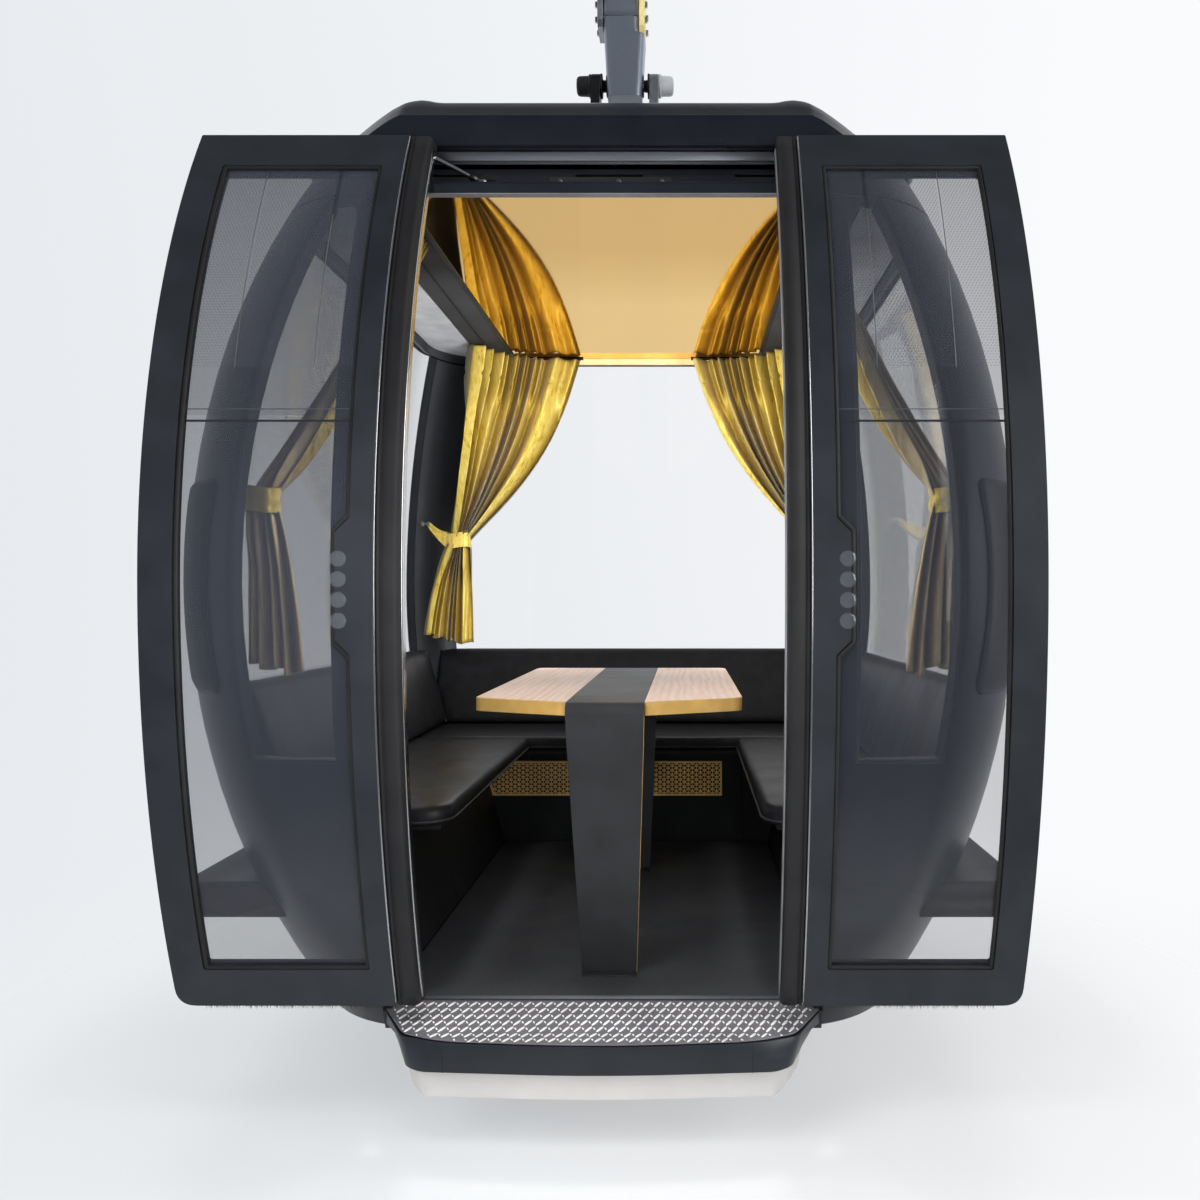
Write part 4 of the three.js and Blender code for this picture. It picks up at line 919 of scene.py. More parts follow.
# %% Closing edges and brushes
SEAL, TUFTS, NYLON = 0.05, 330, 0.0011
EDGE_METAL = {-1: BRIGHT, 1: HEADER_EDGE}  # the left carrier is bright metal, the right one dark grey
for word, side in SIDES:
    inner, face = LEAF_IN - SEAL, LEAF_FACE - 0.002
    nose = [(inner + 0.012 - 0.012 * sin(a), face - 0.02 + 0.02 * cos(a)) for a in span(0, pi / 2, 7)]
    section = [(LEAF_IN - 0.0006, face - 0.003), (LEAF_IN - 0.006, face - 0.003),
        (LEAF_IN - 0.008, face - 0.006), (LEAF_IN - 0.011, face - 0.006), (LEAF_IN - 0.013, face - 0.001),
        *nose, (inner, 0.004), (inner + 0.006, 0.001), (LEAF_IN - 0.0006, 0.001)]
    finish(upright(f"{word}_leaf_closing_edge", section, LEAF_LOW, LEAF_HIGH - 0.002, side, 0.04), RUBBER,
        "rubber", f"{word}_door_seal")
    carrier = rectangle(inner - 0.0022, inner + 0.0005, face - 0.026, 0.012)
    finish(upright(f"{word}_leaf_carrier_line", carrier, LEAF_LOW + 0.012, LEAF_HIGH - 0.03, side, 0.04),
        EDGE_METAL[side], "pale_metal")
    shuffle = random.Random(7 + side)
    work = bmesh.new()
    foot = face_y(LEAF_LOW) + LEAF_GAP + LEAF_THICK / 2
    for i in range(TUFTS):
        x = side * (LEAF_IN - 0.04 + (LEAF_OUT - LEAF_IN - 0.02) * i / (TUFTS - 1))
        y = -foot + shuffle.uniform(-0.007, 0.007)
        tip = at(x + shuffle.uniform(-0.002, 0.002), y + shuffle.uniform(-0.002, 0.002),
            LEAF_LOW - 0.012 - shuffle.uniform(0, 0.004))
        root = [work.verts.new(at(x + NYLON * cos(a), y + NYLON * sin(a), LEAF_LOW + 0.002))
            for a in (0, 2.1, 4.2)]
        end = work.verts.new(tip)
        for a, b in loop_pairs(root):
            work.faces.new((a, b, end))
    finish(from_bmesh(f"{word}_leaf_brush", work), BRUSH, "rubber")
print("closing edges and", TUFTS, "brush tufts a leaf")

# %% [markdown]
# The pane in each leaf is grey glass, darker in its upper vent half, where a field of printed dots shades the
# passengers. Dots could be modelled by the thousand, but they are ink, without any height. So they are a hexagonal
# pattern worked out in the material from the place on the pane: twice the distance to a grid's nearest point.

# %% The printed glass of the leaves
DOT_PITCH, DOTS_END, VENT_LOW = 0.0078, 1.51, 1.4
RIBS = (0.63, 0.807)  # bare lines between the printed fields


def leaf_glass():
    glass = Finish("leaf glass", IOR=1.5, Roughness=0.04)
    math = glass.math
    axes = glass.node("ShaderNodeSeparateXYZ", {0: glass.place}).outputs
    height = math("SUBTRACT", axes["Z"], FLOOR)
    near = []
    for shift in (0.0, 0.5):
        squares = []
        for source, pitch in ((axes["X"], DOT_PITCH), (axes["Z"], DOT_PITCH * sqrt(3))):
            share = math("FRACT", math("MULTIPLY_ADD", source, 1 / pitch, shift))
            offset = math("MULTIPLY", math("SUBTRACT", share, 0.5), pitch)
            squares.append(math("POWER", math("ABSOLUTE", offset), 2))
        near.append(math("SQRT", math("ADD", *squares)))
    radius = glass.ranged(height, DOTS_END, WINDOW_HIGH, 0.0016, 0.0026)
    dots = glass.ranged(math("SUBTRACT", math("MINIMUM", *near), radius), -0.0004, 0.0004, 1.0, 0.0)
    for place in RIBS:
        off = math("ABSOLUTE", math("SUBTRACT", math("ABSOLUTE", axes["X"]), place))
        dots = math("MULTIPLY", dots, math("GREATER_THAN", off, 0.0045))
    dots = math("MULTIPLY", dots, math("GREATER_THAN", height, DOTS_END))
    tint = glass.ranged(height, WINDOW_LOW, WINDOW_HIGH, 0.24, 0.43)
    # Painted light and shade: the glass is made denser towards the left leaf and clearer towards the right.
    lean = glass.ranged(axes["X"], -0.6, 0.6, 1.15, 0.7)
    vent = math("MULTIPLY", math("GREATER_THAN", height, VENT_LOW), 0.05)
    clear = math("MULTIPLY", math("ADD", tint, vent), lean)
    glass.link(math("MULTIPLY_ADD", dots, 0.16, clear), "Alpha")
    glass.shade(dots, (0.0, (0.036, 0.041, 0.054)), (1.0, (0.085, 0.092, 0.115)))
    return glazed(glass)


LEAF_GLASS = leaf_glass()
CLEAR_DISC = tinted("moulded clear disc", (0.13, 0.14, 0.16), 0.35)
print("dots of", DOT_PITCH * 1000, "mm pitch above", DOTS_END, "m")

# %% [markdown]
# ## Plates, turned parts and bolts
# Much of the rest is plate work and turning: an outline cut from sheet, or a profile spun on a lathe. Two helpers
# make those, and a third makes a bolt head with its washer, since nothing on a cabin is held by thin air.

# %% Helpers for sheet work and turning
AXES = {"x": ((0, 1, 0), (0, 0, 1), (1, 0, 0)), "y": ((1, 0, 0), (0, 0, 1), (0, 1, 0)),
    "z": ((1, 0, 0), (0, 1, 0), (0, 0, 1))}


def prism(name, outline, axis, low, high, holes=()):
    """An outline in the plane across an axis, pulled from low to high; heights count from the floor."""
    low, high = sorted((low, high))
    u, v, w = [Vector(direction) for direction in AXES[axis]]
    work = flat_plate([outline, *holes])
    for vertex in work.verts:
        vertex.co = at(0, 0, 0) + u * vertex.co.x + v * vertex.co.y + w * low
    for item in bmesh.ops.extrude_face_region(work, geom=work.faces[:])["geom"]:
        if isinstance(item, bmesh.types.BMVert):
            item.co += w * (high - low)
    return from_bmesh(name, work)


def plate(name, outline, axis, low, high, material, slot, nodes=(), edge=(0.001, 1), holes=()):
    """A prism with its edges softened, and finished."""
    return finish(soften(prism(name, outline, axis, low, high, holes), *edge), material, slot, nodes)


def spun(name, profile, start, along, segments, caps=True):
    """A (distance along, radius) profile spun round an axis from start."""
    along = Vector(along).normalized()
    turn = along.to_track_quat("Z", "Y").to_matrix()
    work = bmesh.new()
    rings = []
    for distance, radius in profile:
        middle = Vector(start) + along * distance
        around = span(0, 2 * pi, segments)[:-1] if radius else [0]
        rings.append([work.verts.new(middle + turn @ Vector((radius * cos(a), radius * sin(a), 0)))
            for a in around])
    for low, high in zip(rings, rings[1:]):
        for i in range(segments):
            a, b = low[i % len(low)], low[(i + 1) % len(low)]
            c, d = high[(i + 1) % len(high)], high[i % len(high)]
            work.faces.new([v for v in dict.fromkeys((a, b, c, d))])
    for ring in (rings[0], rings[-1]):
        if caps and len(ring) > 1:
            work.faces.new(ring)
    return from_bmesh(name, work)


def turned(name, profile, start, along, segments, material, slot="steel", nodes=(), body="cabin", caps=True):
    return finish(spun(name, profile, start, along, segments, caps), material, slot, nodes, body)


def bolt(name, place, along, size, material=STEEL, body="cabin"):
    """A hexagon head on its washer; size is the thread's diameter."""
    place, along = Vector(place), Vector(along)
    washer = spun("washer", [(0, 0), (0, size), (size * 0.16, size), (size * 0.2, size * 0.94),
        (size * 0.2, 0)], place, along, 24)
    head = spun("head", [(0, 0), (0, size * 0.92), (size * 0.52, size * 0.92), (size * 0.6, size * 0.8),
        (size * 0.6, 0)], place + along * size * 0.2, along, 6)
    finish(joined(name, [washer, head], False), material, "steel", body=body)


def bolts(name, places, along, size, material=STEEL, body="cabin"):
    for i, place in enumerate(places):
        bolt(f"{name}_{i}", place, along, size, material, body)


def rod(name, points, radius, material, slot, resolution=3, closed=False, body="cabin", nodes=()):
    return finish(line_piece(name, points, radius, closed, resolution), material, slot, nodes, body)


print("plate, turning and bolt helpers ready")

# %% [markdown]
# Each pane is bent like its frame. The vent over it has a rubber seal below and thin edges, and four moulded
# clear discs, turned like buttons, stand on the handle panel.

# %% Panes, vents and clear discs
DISC = [(-0.004, 0.018), (0, 0.018), (0.0022, 0.0165), (0.003, 0.011), (0.003, 0)]
for word, side in SIDES:
    pane = bent_plate(f"{word}_leaf_glass", [dense(window_outline(0.0012), 0.04)], side, LEAF_FACE - 0.014,
        0.005, 0.04)
    finish(soften(pane, 0.0008, 1), LEAF_GLASS, "glass", f"{word}_door_glass")
    for place, high in zip(RIBS, (1.9, WINDOW_HIGH - 0.01)):
        rib = rectangle(place - 0.0012, place + 0.0012, LEAF_FACE - 0.0142, LEAF_FACE - 0.0136)
        finish(upright(f"{word}_vent_line_{round(place * 1000)}", rib, DOTS_END, high, side), VENT_EDGE,
            "glass")
    for height, radius, material, name in ((1.387, 0.0026, RUBBER, "seal"), (1.414, 0.0011, VENT_EDGE, "edge")):
        line = [on_leaf(side * x, height, LEAF_FACE - 0.0165) for x in (WINDOW_IN + 0.002, WINDOW_OUT - 0.002)]
        rod(f"{word}_vent_{name}", line, radius, material, "rubber")
    discs = [spun("disc", DISC, on_leaf(side * 0.554, height, LEAF_FACE + 0.0005), (0, -1, 0), 28)
        for height in (1.08, 1.035, 0.99, 0.945)]
    finish(joined(f"{word}_leaf_discs", discs), CLEAR_DISC, "black_plastic")
print("leaf panes, vents and discs")

# %% [markdown]
# ## Roof
# The roof is one moulding: a rim that carries the barrel on over the windows, and a crown with an upright fascia
# over the doorway, a thin ledge, and raised shoulders that run front to back. A loaf of cross sections suits it:
# at each place along the rope the section goes up the fascia, over the ledge, across the top and down again,
# with its height read from the silhouette.

# %% The crown's sections
EAVES_X, EAVES_Y, ROOF_CORNER = 0.813, 0.893, 0.26
DOOR_TOP, LEDGE, EAVES_ROLL = 2.14, 2.215, 0.06
SILHOUETTE = [(0.0, 2.27), (0.42, 2.27), (0.438, 2.2715), (0.458, 2.278), (0.48, 2.281), (0.505, 2.276),
    (0.55, 2.252), (0.6, 2.219), (0.64, 2.193), (0.7, 2.172), (0.76, 2.153), (0.8, 2.143), (0.813, 2.14)]


def crown_section(x):
    """The front half of a section as (y from the middle, height), from the fascia's foot to the middle."""
    top = float(np.interp(abs(x), *zip(*SILHOUETTE)))
    past = max(0, abs(x) - (EAVES_X - ROOF_CORNER))
    depth = EAVES_Y - ROOF_CORNER + sqrt(max(0, ROOF_CORNER ** 2 - past ** 2))
    ledge = min(LEDGE, top - 0.052 * min(1, (EAVES_X - abs(x)) / 0.1))
    ledge = max(ledge, DOOR_TOP - 0.006)
    rise = top - ledge
    back = 0.043 * rise / 0.055
    lean = depth - 0.008 - back
    return [(depth - 0.05, DOOR_TOP - 0.004), (depth - 0.004, DOOR_TOP - 0.004), (depth, DOOR_TOP),
        (depth, (ledge + DOOR_TOP) / 2), (depth, ledge - 0.003), (depth - 0.0015, ledge),
        (depth - 0.007, ledge + 0.0015), (depth - 0.009, ledge + 0.004),
        (depth - 0.009 - back / 2, ledge + rise / 2), (lean + 0.004, top - 0.006), (lean - 0.003, top - 0.001),
        (lean - 0.012, top)] + [(lean * t, top) for t in (0.9, 0.6, 0.3, 0)]


columns = sorted({round(s * x, 4) for s in (-1, 1) for x in span(0, 0.42, 14) + span(0.42, 0.6, 18)
    + span(0.6, EAVES_X - EAVES_ROLL, 14) + [EAVES_X - EAVES_ROLL + EAVES_ROLL * sin(a)
    for a in span(0, pi / 2, 8)]})
rows = []
for x in columns:
    half = crown_section(x)
    rows.append([at(x, -y, z) for y, z in half] + [at(x, y, z) for y, z in reversed(half[:-1])])
crown = surface("roof_crown", rows)
work = bmesh.new()
work.from_mesh(crown.data)
for side in (-1, 1):  # the two open ends
    bmesh.ops.contextual_create(work, geom=[e for e in work.edges if e.is_boundary
        and all(v.co.x * side > EAVES_X - 1e-3 for v in e.verts)])
work.to_mesh(crown.data)
work.free()
finish(thicken(crown, 0.012, even=False), ROOF_GLOSS, "body_paint", "roof")
print("crown of", len(columns), "sections, from", columns[0], "to", columns[-1])

# %% [markdown]
# The rim is the same barrel carried on, as one band from the doorway's right jamb round the back to its left
# jamb. A rubber seal closes the joint under it.

# %% The rim round the windows' heads
def ring_line(height, inset):
    """The body's outline at a height, from the doorway's right jamb round the back to its left jamb."""
    half = [(t, False) for t in span(turn_at_x(DOORWAY_HALF, height), 2, 12) + span(2, 3, 16)[1:]]
    half += [(t, True) for t in span(3, 2, 16)[1:] + span(2, 1, 12)[1:] + span(1, 0, 20)[1:]]
    right = [body_point(t, height, inset, back) for t, back in half]
    return right + [Vector((-p.x, p.y, p.z)) for p in reversed(right[:-1])]


rim = surface("roof_rim", [ring_line(z, 0) for z in span(RIM, DOOR_TOP + 0.002, 6)])
finish(soften(thicken(rim, WALL - 0.005), 0.004), BODY_PAINT, "body_paint")
gasket = [p + (MIDDLE - p).normalized() * 0.001 for p in ring_line(RIM - 0.001, 0.003)]
rod("roof_joint_seal", gasket, 0.0035, RUBBER, "rubber")
print("rim from", RIM, "to", DOOR_TOP)

# %% [markdown]
# Over the doorway, under the crown, sits the door drive: an aluminium guide rail, a folded cover with a slot, a
# stepped plate, and one leaf's push rod with its ball joint. The lintel closes the ceiling off below it.

# %% Lintel, guide rail, cover and push rod
RAIL_Y = -(face_y(LEDGE) + 0.015)
LINTEL_HALF = 0.5346
plate("door_lintel", rounded([(-0.947, 1.9965), (-0.947, 2.02), (-0.934, 2.03), (-0.915, 2.03),
    (-0.915, 1.9965)], 0.004), "x", -LINTEL_HALF, LINTEL_HALF, BODY_PAINT, "body_paint", "door_header",
    (0.0015, 2))
plate("door_lintel_lip", rectangle(-0.9485, -0.925, 1.993, 1.9965), "x", -LINTEL_HALF, LINTEL_HALF,
    HEADER_EDGE, "pale_metal", edge=(0.0008, 1))
channel = [(-0.014, 2.112), (-0.014, 2.136), (0.014, 2.136), (0.014, 2.112), (0.006, 2.112), (0.006, 2.118),
    (-0.006, 2.118), (-0.006, 2.112)]
finish(prism("door_guide_rail", rounded([(RAIL_Y + y, z) for y, z in channel], 0.0025, 3), "x", -LINTEL_HALF,
    LINTEL_HALF), RAIL_METAL, "steel", "door_drive")
slots = [rounded(rectangle(x0, x1, 2.088, 2.094), 0.0028, 4) for x0, x1 in ((-0.085, 0.09), (-0.47, -0.36),
    (0.33, 0.46))]
plate("door_drive_cover", rectangle(-0.53, 0.53, 2.045, 2.108), "y", RAIL_Y + 0.03, RAIL_Y + 0.036, GREY_BAND,
    "steel", holes=slots)
finish(prism("door_drive_slot_back", rectangle(-0.52, 0.52, 2.08, 2.1), "y", RAIL_Y + 0.045, RAIL_Y + 0.05),
    BLACK_PLASTIC, "black_plastic")
plate("door_drive_plate", rounded([(-0.147, 2.052), (-0.04, 2.052), (-0.04, 2.036), (0.10, 2.036),
    (0.10, 2.052), (0.165, 2.052), (0.165, 2.074), (-0.147, 2.074)], 0.006, 4), "y", RAIL_Y - 0.005,
    RAIL_Y + 0.002, BLACK_PLATE, "black_metal", edge=(0.0012, 2))
bolts("drive_plate_bolt", [at(x, RAIL_Y - 0.005, 2.063) for x in (-0.12, 0.03, 0.14)], (0, -1, 0), 0.006)
ball = at(-0.317, RAIL_Y - 0.015, 2.055)
rod_end, link_end = on_leaf(-0.452, 2.108, LEAF_GAP - 0.004), at(-0.14, RAIL_Y, 2.05)
rod("push_rod", [ball.lerp(rod_end, t) for t in (0.08, 1)], 0.0055, BRIGHT, "pale_metal", 4)
rod("drive_link", [ball.lerp(link_end, t) for t in (0.08, 1)], 0.0045, STEEL, "steel", 4)
turned("push_rod_ball_joint", [(-0.016, 0), (-0.016, 0.007), (-0.011, 0.009), (-0.009, 0.014), (0.004, 0.015),
    (0.009, 0.0115), (0.011, 0.008), (0.016, 0.0065), (0.019, 0)], ball, (0, 0, 1), 28, STEEL)
for end, name in ((rod_end, "rod"), (link_end, "link")):
    turned(f"{name}_collar", [(0.01, 0), (0.01, 0.009), (0.03, 0.009), (0.036, 0.006), (0.036, 0)], ball,
        end - ball, 20, DARK_STEEL)
print("door drive at y =", round(RAIL_Y, 3))

# %% [markdown]
# Inside, the ceiling is a bright gold mirror panel over the table with dark felt liners over the seats. A mirror
# is only as good as what it reflects, so it is left slightly brushed and slightly uneven, which blurs the
# curtains in it the way a thin panel does.

# %% Ceiling
CEILING, CEILING_HALF, LINER_EDGE = 2.0, 0.51, 0.65


def ceiling_outline(low_x, high_x, side, inset=0.05):
    """The plan of a strip of ceiling between two x, inside the walls at ceiling height."""
    half = face_y(CEILING) - CORNER
    front = []
    for x in span(low_x, high_x, 20):
        past = max(0, x - (end_x(CEILING) - CORNER))
        front.append((x, half + sqrt(max(0, (CORNER - inset) ** 2 - past ** 2))))
    return in_plane([(x, -y) for x, y in front] + front[::-1], side)


plate("gold_ceiling_panel", rectangle(-CEILING_HALF, CEILING_HALF, -0.9145, 0.9125), "z", CEILING,
    CEILING + 0.01, GOLD_MIRROR, "gold_mirror", "ceiling_panel")
plate("rear_head_strip", in_plane([(0.903, 1.9765), (0.922, 1.9765), (0.9125, 1.9998), (0.903, 1.9998)]), "x",
    -CEILING_HALF, CEILING_HALF, HEAD_STRIP, "pale_metal", edge=(0.0008, 1))
for word, side in SIDES:
    # The felt strips have the liner's own dark; the pale outboard strips carry painted light.
    for part, low, high, lining in (("felt", CEILING_HALF + 0.002, LINER_EDGE, LINER),
            ("pale", LINER_EDGE + 0.002, end_x(CEILING) - 0.048, PAINTED_LIGHT_LINER)):
        plate(f"{word}_ceiling_{part}_liner", ceiling_outline(low, high, side), "z", CEILING, CEILING + 0.01,
            lining, "liner", f"{word}_roof_liner")
    edge = [(side * (CEILING_HALF - 0.001 + dx), CEILING + dz) for dx,
        dz in ((-0.006, 0), (-0.006, -0.004), (0.006, -0.004), (0.008, 0))]
    plate(f"{word}_ceiling_strip", in_plane(edge), "y", -0.9, 0.9, BLACK_PLASTIC, "black_plastic")
print("ceiling panel", 2 * CEILING_HALF, "m wide")

# %% [markdown]
# ## Curtains
# Four satin curtains hang from a track round the ceiling and are swept to ties on the corner pillars. A cloth
# simulation finds such folds slowly and differently each time. Here they are worked out the way a maker cuts
# them: every curtain has one width of cloth, pinched into pleats by the tape at its head and falling from them
# in fewer, uneven folds. Where the line it hangs on is short, as at the tie, the folds go deep and crowd.

# %% Folds that keep the cloth's width
CLOTH_WIDTH, FOLDS, COLUMNS = 1.1, 7, 224
HEAD, TIE, HEM = 1.99, 1.24, 0.82
SEAM = HEAD - 0.1  # the foot of the gathering tape


def pleat_depth(length):
    """The half depth of the folds that take up the cloth's width along a line of some length."""
    low, high = 0.0, 0.2
    for _ in range(24):
        depth = (low + high) / 2
        slope = depth * 2 * pi * FOLDS / length
        taken = sum(sqrt(1 + (slope * cos(k * pi / 16)) ** 2) for k in range(16)) / 16 * length
        low, high = (depth, high) if taken < CLOTH_WIDTH * 0.94 else (low, depth)
    return min((low + high) / 2, 0.034)


def blended(first, last, share):
    return [a.lerp(b, share) for a, b in zip(first, last)]


def eased(value):
    value = max(0, min(1, value))
    return value * value * (3 - 2 * value)


def curtain_line(head, tie, hem, height):
    """The curve a curtain hangs on at a height, between its hem, its tie and its head."""
    if height <= TIE:
        share = (TIE - height) / (TIE - HEM) if height > HEM else 1
        return blended(tie, hem, min(1, 1.15 * share ** 0.72 - 0.15 * share ** 3))
    share = (height - TIE) / (HEAD - TIE)
    return blended(tie[:2], head[:2], share + 0.17 * sin(share * pi)) + blended(tie[2:], head[2:], share)


def fold_wave(s, height, seed):
    """How far the cloth stands out at a place across it: pinched at the tape, in uneven folds below."""
    free = eased((SEAM - height) / 0.16)
    wide = s + 0.05 * sin(2 * pi * s + seed) + 0.034 * sin(4.4 * pi * s + 2.1 * seed)
    drift = 0.05 * noise(Vector((s * 2.2 + seed, height * 1.3, seed * 3.1))) * free
    phase = 2 * pi * FOLDS * (wide + drift)
    tall = 1 + free * 0.75 * noise(Vector((s * 6.5 + 3 * seed, height * 0.9, seed)))
    round_top = sin(phase) + 0.22 * sin(phase - 0.9) ** 3
    ripple = 0.2 * free * (0.5 + noise(Vector((s * 4, height * 3, seed))))
    pinched = sin(2 * phase + 0.6) * (0.85 * (1 - free) + ripple)
    return round_top * (0.55 + 0.45 * free) * tall + pinched, phase


def curtain(name, side, rear, head, tie, hem, seed):
    """A lined curtain as one closed sheet; its lines are drawn for +X, +Y and mirrored."""
    levels = sorted({round(h, 4) for low, high, count in ((HEM, TIE - 0.06, 20), (TIE - 0.06, TIE + 0.08, 14),
        (TIE + 0.08, SEAM - 0.02, 34), (SEAM - 0.02, SEAM + 0.02, 8), (SEAM + 0.02, HEAD, 10))
        for h in span(low, high, count)})
    rows = []
    for height in levels:
        ends = curtain_line(head, tie, hem, height)
        samples = [bezier(ends, t) for t in span(0, 1, 40)]
        depth = pleat_depth(sum((q - p).length for p, q in zip(samples, samples[1:])))
        depth *= 1 - 0.22 * exp(-((height - SEAM) / 0.007) ** 2) - 0.16 * exp(-((height - TIE) / 0.05) ** 2)
        depth *= 0.84 - (0.5 if rear else 0.34) * eased((TIE - 0.04 - height) / 0.16)
        loose = min(1, abs(height - TIE) / 0.12)
        row = []
        for s in span(0, 1, COLUMNS):
            wave, phase = fold_wave(s, height, seed)
            crease = 0.003 * loose * noise(Vector((s * 34, height * 7 + s * 9, seed)))
            out = depth * wave * eased(min(s, 1 - s) / 0.012) + crease
            t = min(1, max(0, s + 0.03 * sin(2 * phase) / FOLDS * loose))
            along = ((ends[1] - ends[0]) * (1 - t) + (ends[2] - ends[1]) * t).normalized()
            p = bezier(ends, t) + Vector((-along.y, along.x)) * out
            z = height
            if height < TIE:
                share = (TIE - height) / (TIE - HEM)
                z += share ** 2 * (0.05 * s ** 1.3 - 0.016 + 0.008 * sin(phase * 0.5 + 1))
            elif height < SEAM:
                z -= 0.006 * sin(pi * (height - TIE) / (SEAM - TIE)) * (1 + wave) * loose
            row.append(at(side * p.x, p.y if rear else -p.y, z))
        rows.append(row)
    piece = surface(name, rows)
    if sum((Vector((0, 0, f.center.z)) - f.center).normalized().dot(f.normal) for f in piece.data.polygons) < 0:
        piece.data.flip_normals()
    return thicken(piece, 0.0016, -1, 1, even=False)


print("a curtain's folds are ready")

# %% [markdown]
# A tie is a flat band of the same satin: it goes once round the bunch and its two tails run to a hook on the
# pillar. Its length and area are added up along the band and printed.

# %% Ties
def flat_tie(name, side, rear, centre, hook, seed):
    """The band round the bunch and its two tails to the hook on the pillar, all of one width of cloth."""
    loop = []
    for a in span(0.35, 2 * pi - 0.35, 26):
        wobble = 1 + 0.05 * sin(3 * a + seed)
        loop.append((centre + Vector((0.047 * cos(a), 0.042 * sin(a))) * wobble, TIE + 0.004 * sin(2 * a)))
    first, last = [[(hook[0].lerp(end[0], t), hook[1] + (end[1] - hook[1]) * t - sag * sin(pi * t))
        for t in span(0, 1, 8)[:-1]] for end, sag in ((loop[0], 0.012), (loop[-1], 0.008))]
    spine = first + loop + last[::-1]
    widths = [0.008 + 0.023 * min(1, min(i, len(spine) - 1 - i) / 7) ** 0.7 for i in range(len(spine))]
    steps = [hypot((q[0] - p[0]).length, q[1] - p[1]) for p, q in zip(spine, spine[1:])]
    area = sum(step * (a + b) for step, a, b in zip(steps, widths, widths[1:]))
    rows = [[at(side * (p.x + 0.002 * sin(5 * v + i * 0.6)), (p.y if rear else -p.y) + 0.0016
        * sin(7 * v + i * 0.9 + seed), z + v * wide) for v in (-1, -0.94, -0.6, -0.3, 0, 0.3, 0.6, 0.94, 1)]
        for i, ((p, z), wide) in enumerate(zip(spine, widths))]
    return thicken(surface(name, rows), 0.0022, 0, even=False), sum(steps), area


LINES = {  # plan points for the leading edge, the bend and the end side, at the head, the tie and the hem
    "rear": (((0.232, 0.872), (0.568, 0.872), (0.625, 0.6)),
             ((0.708, 0.92), (0.752, 0.932), (0.777, 0.9)),
             ((0.69, 0.93), (0.83, 0.955), (0.875, 0.86))),
    "front": (((0.545, 0.85), (0.552, 0.7), (0.57, 0.53)),
              ((0.828, 0.915), (0.862, 0.93), (0.88, 0.9)),
              ((0.75, 0.925), (0.86, 0.95), (0.9, 0.875))),
}
HOOKS = {"rear": (Vector((0.885, 0.94)), 1.312), "front": (Vector((0.93, 0.9)), 1.31)}
HOOK = [(-0.004, 0), (-0.004, 0.011), (0.003, 0.011), (0.004, 0.005), (0.02, 0.005), (0.022, 0.009),
    (0.026, 0.009), (0.027, 0)]
for place, rear in (("rear", True), ("front", False)):
    head, tie, hem = [in_plane(line) for line in LINES[place]]
    hook = HOOKS[place]
    for word, side in SIDES:
        seed = 1.3 + 2.1 * rear + 0.9 * (side > 0)
        cloth = curtain(f"{place}_{word}_satin", side, rear, head, tie, hem, seed)
        # The rear curtains' lining is painted dark, as painted shade.
        finish(cloth, [CURTAIN, LINING_PAINTED_SHADE if rear else FRONT_LINING], "curtain", f"{place}_{word}_curtain")
        band, long, area = flat_tie(f"{place}_{word}_tie", side, rear, bezier(tie, 0.5), hook, seed)
        finish(band, CURTAIN, "curtain")
        print(f"{place} {word} tie band: {long:.3f} m long, {area:.4f} square metres flat")
        turned(f"{place}_{word}_tie_hook", HOOK, at(side * (hook[0].x + 0.022),
            hook[0].y * (1 if rear else -1), hook[1]), (-side, 0, 0), 20, STEEL)
print("curtains of", FOLDS, "folds from", CLOTH_WIDTH, "m of satin")

# %% [markdown]
# The track is a thin rail under the ceiling. It runs from the middle of the rear window round the corner to the
# doorway, with the bend that a bending spring gives it.

# %% Track
TRACK_X, TRACK_Y, TRACK_HEIGHT = 0.588, 0.9, 1.996
for word, side in SIDES:
    start, bend = Vector((0.225, TRACK_Y)), Vector((0.585, TRACK_Y))
    line = [start.lerp(bend, t) for t in span(0, 0.86, 8)]
    line += [bezier([bend - Vector((0.06, 0)), bend, Vector((TRACK_X, 0.83))], t) for t in span(0, 1, 8)]
    line += [Vector((TRACK_X, y)) for y in span(0.82, -0.84, 20)]
    rod(f"{word}_curtain_track", [at(side * p.x, p.y, TRACK_HEIGHT) for p in line], 0.0034, BLACK_PLASTIC,
        "black_plastic", 2)
print("curtain track at", TRACK_HEIGHT)

# %% [markdown]
# ## Seats
# The bench is a U of thick pads in black leather. A real pad is foam in a cover that was sewn flat: it crowns in
# the middle, pulls in along its seams, and its edge is a soft roll. So each pad is cut to its plan, given an even
# mesh, and blown up a little by a cloth simulation with pressure, with a limit on how far a point may go; the
# underside stays on its pan. The seams and piping come after, because the even mesh would swallow them.

# %% Pads
def pad_blank(name, outline, low, high, edge):
    """A closed block over a plan with a rounded upper edge."""
    levels = [(low, 0.006), (low + 0.008, 0)]
    levels += [(high - edge + edge * sin(a), edge * (1 - cos(a))) for a in span(0, pi / 2, 5)]
    centre = sum(outline, Vector((0, 0))) / len(outline)
    rows = []
    for z, inset in levels:
        ring = []
        for i, p in enumerate(outline):
            along = (outline[(i + 1) % len(outline)] - outline[i - 1]).normalized()
            inward = Vector((-along.y, along.x))
            if inward.dot(centre - p) < 0:
                inward = -inward
            ring.append(at(*(p + inward * inset), z))
        rows.append(ring)
    return lofted(name, rows)


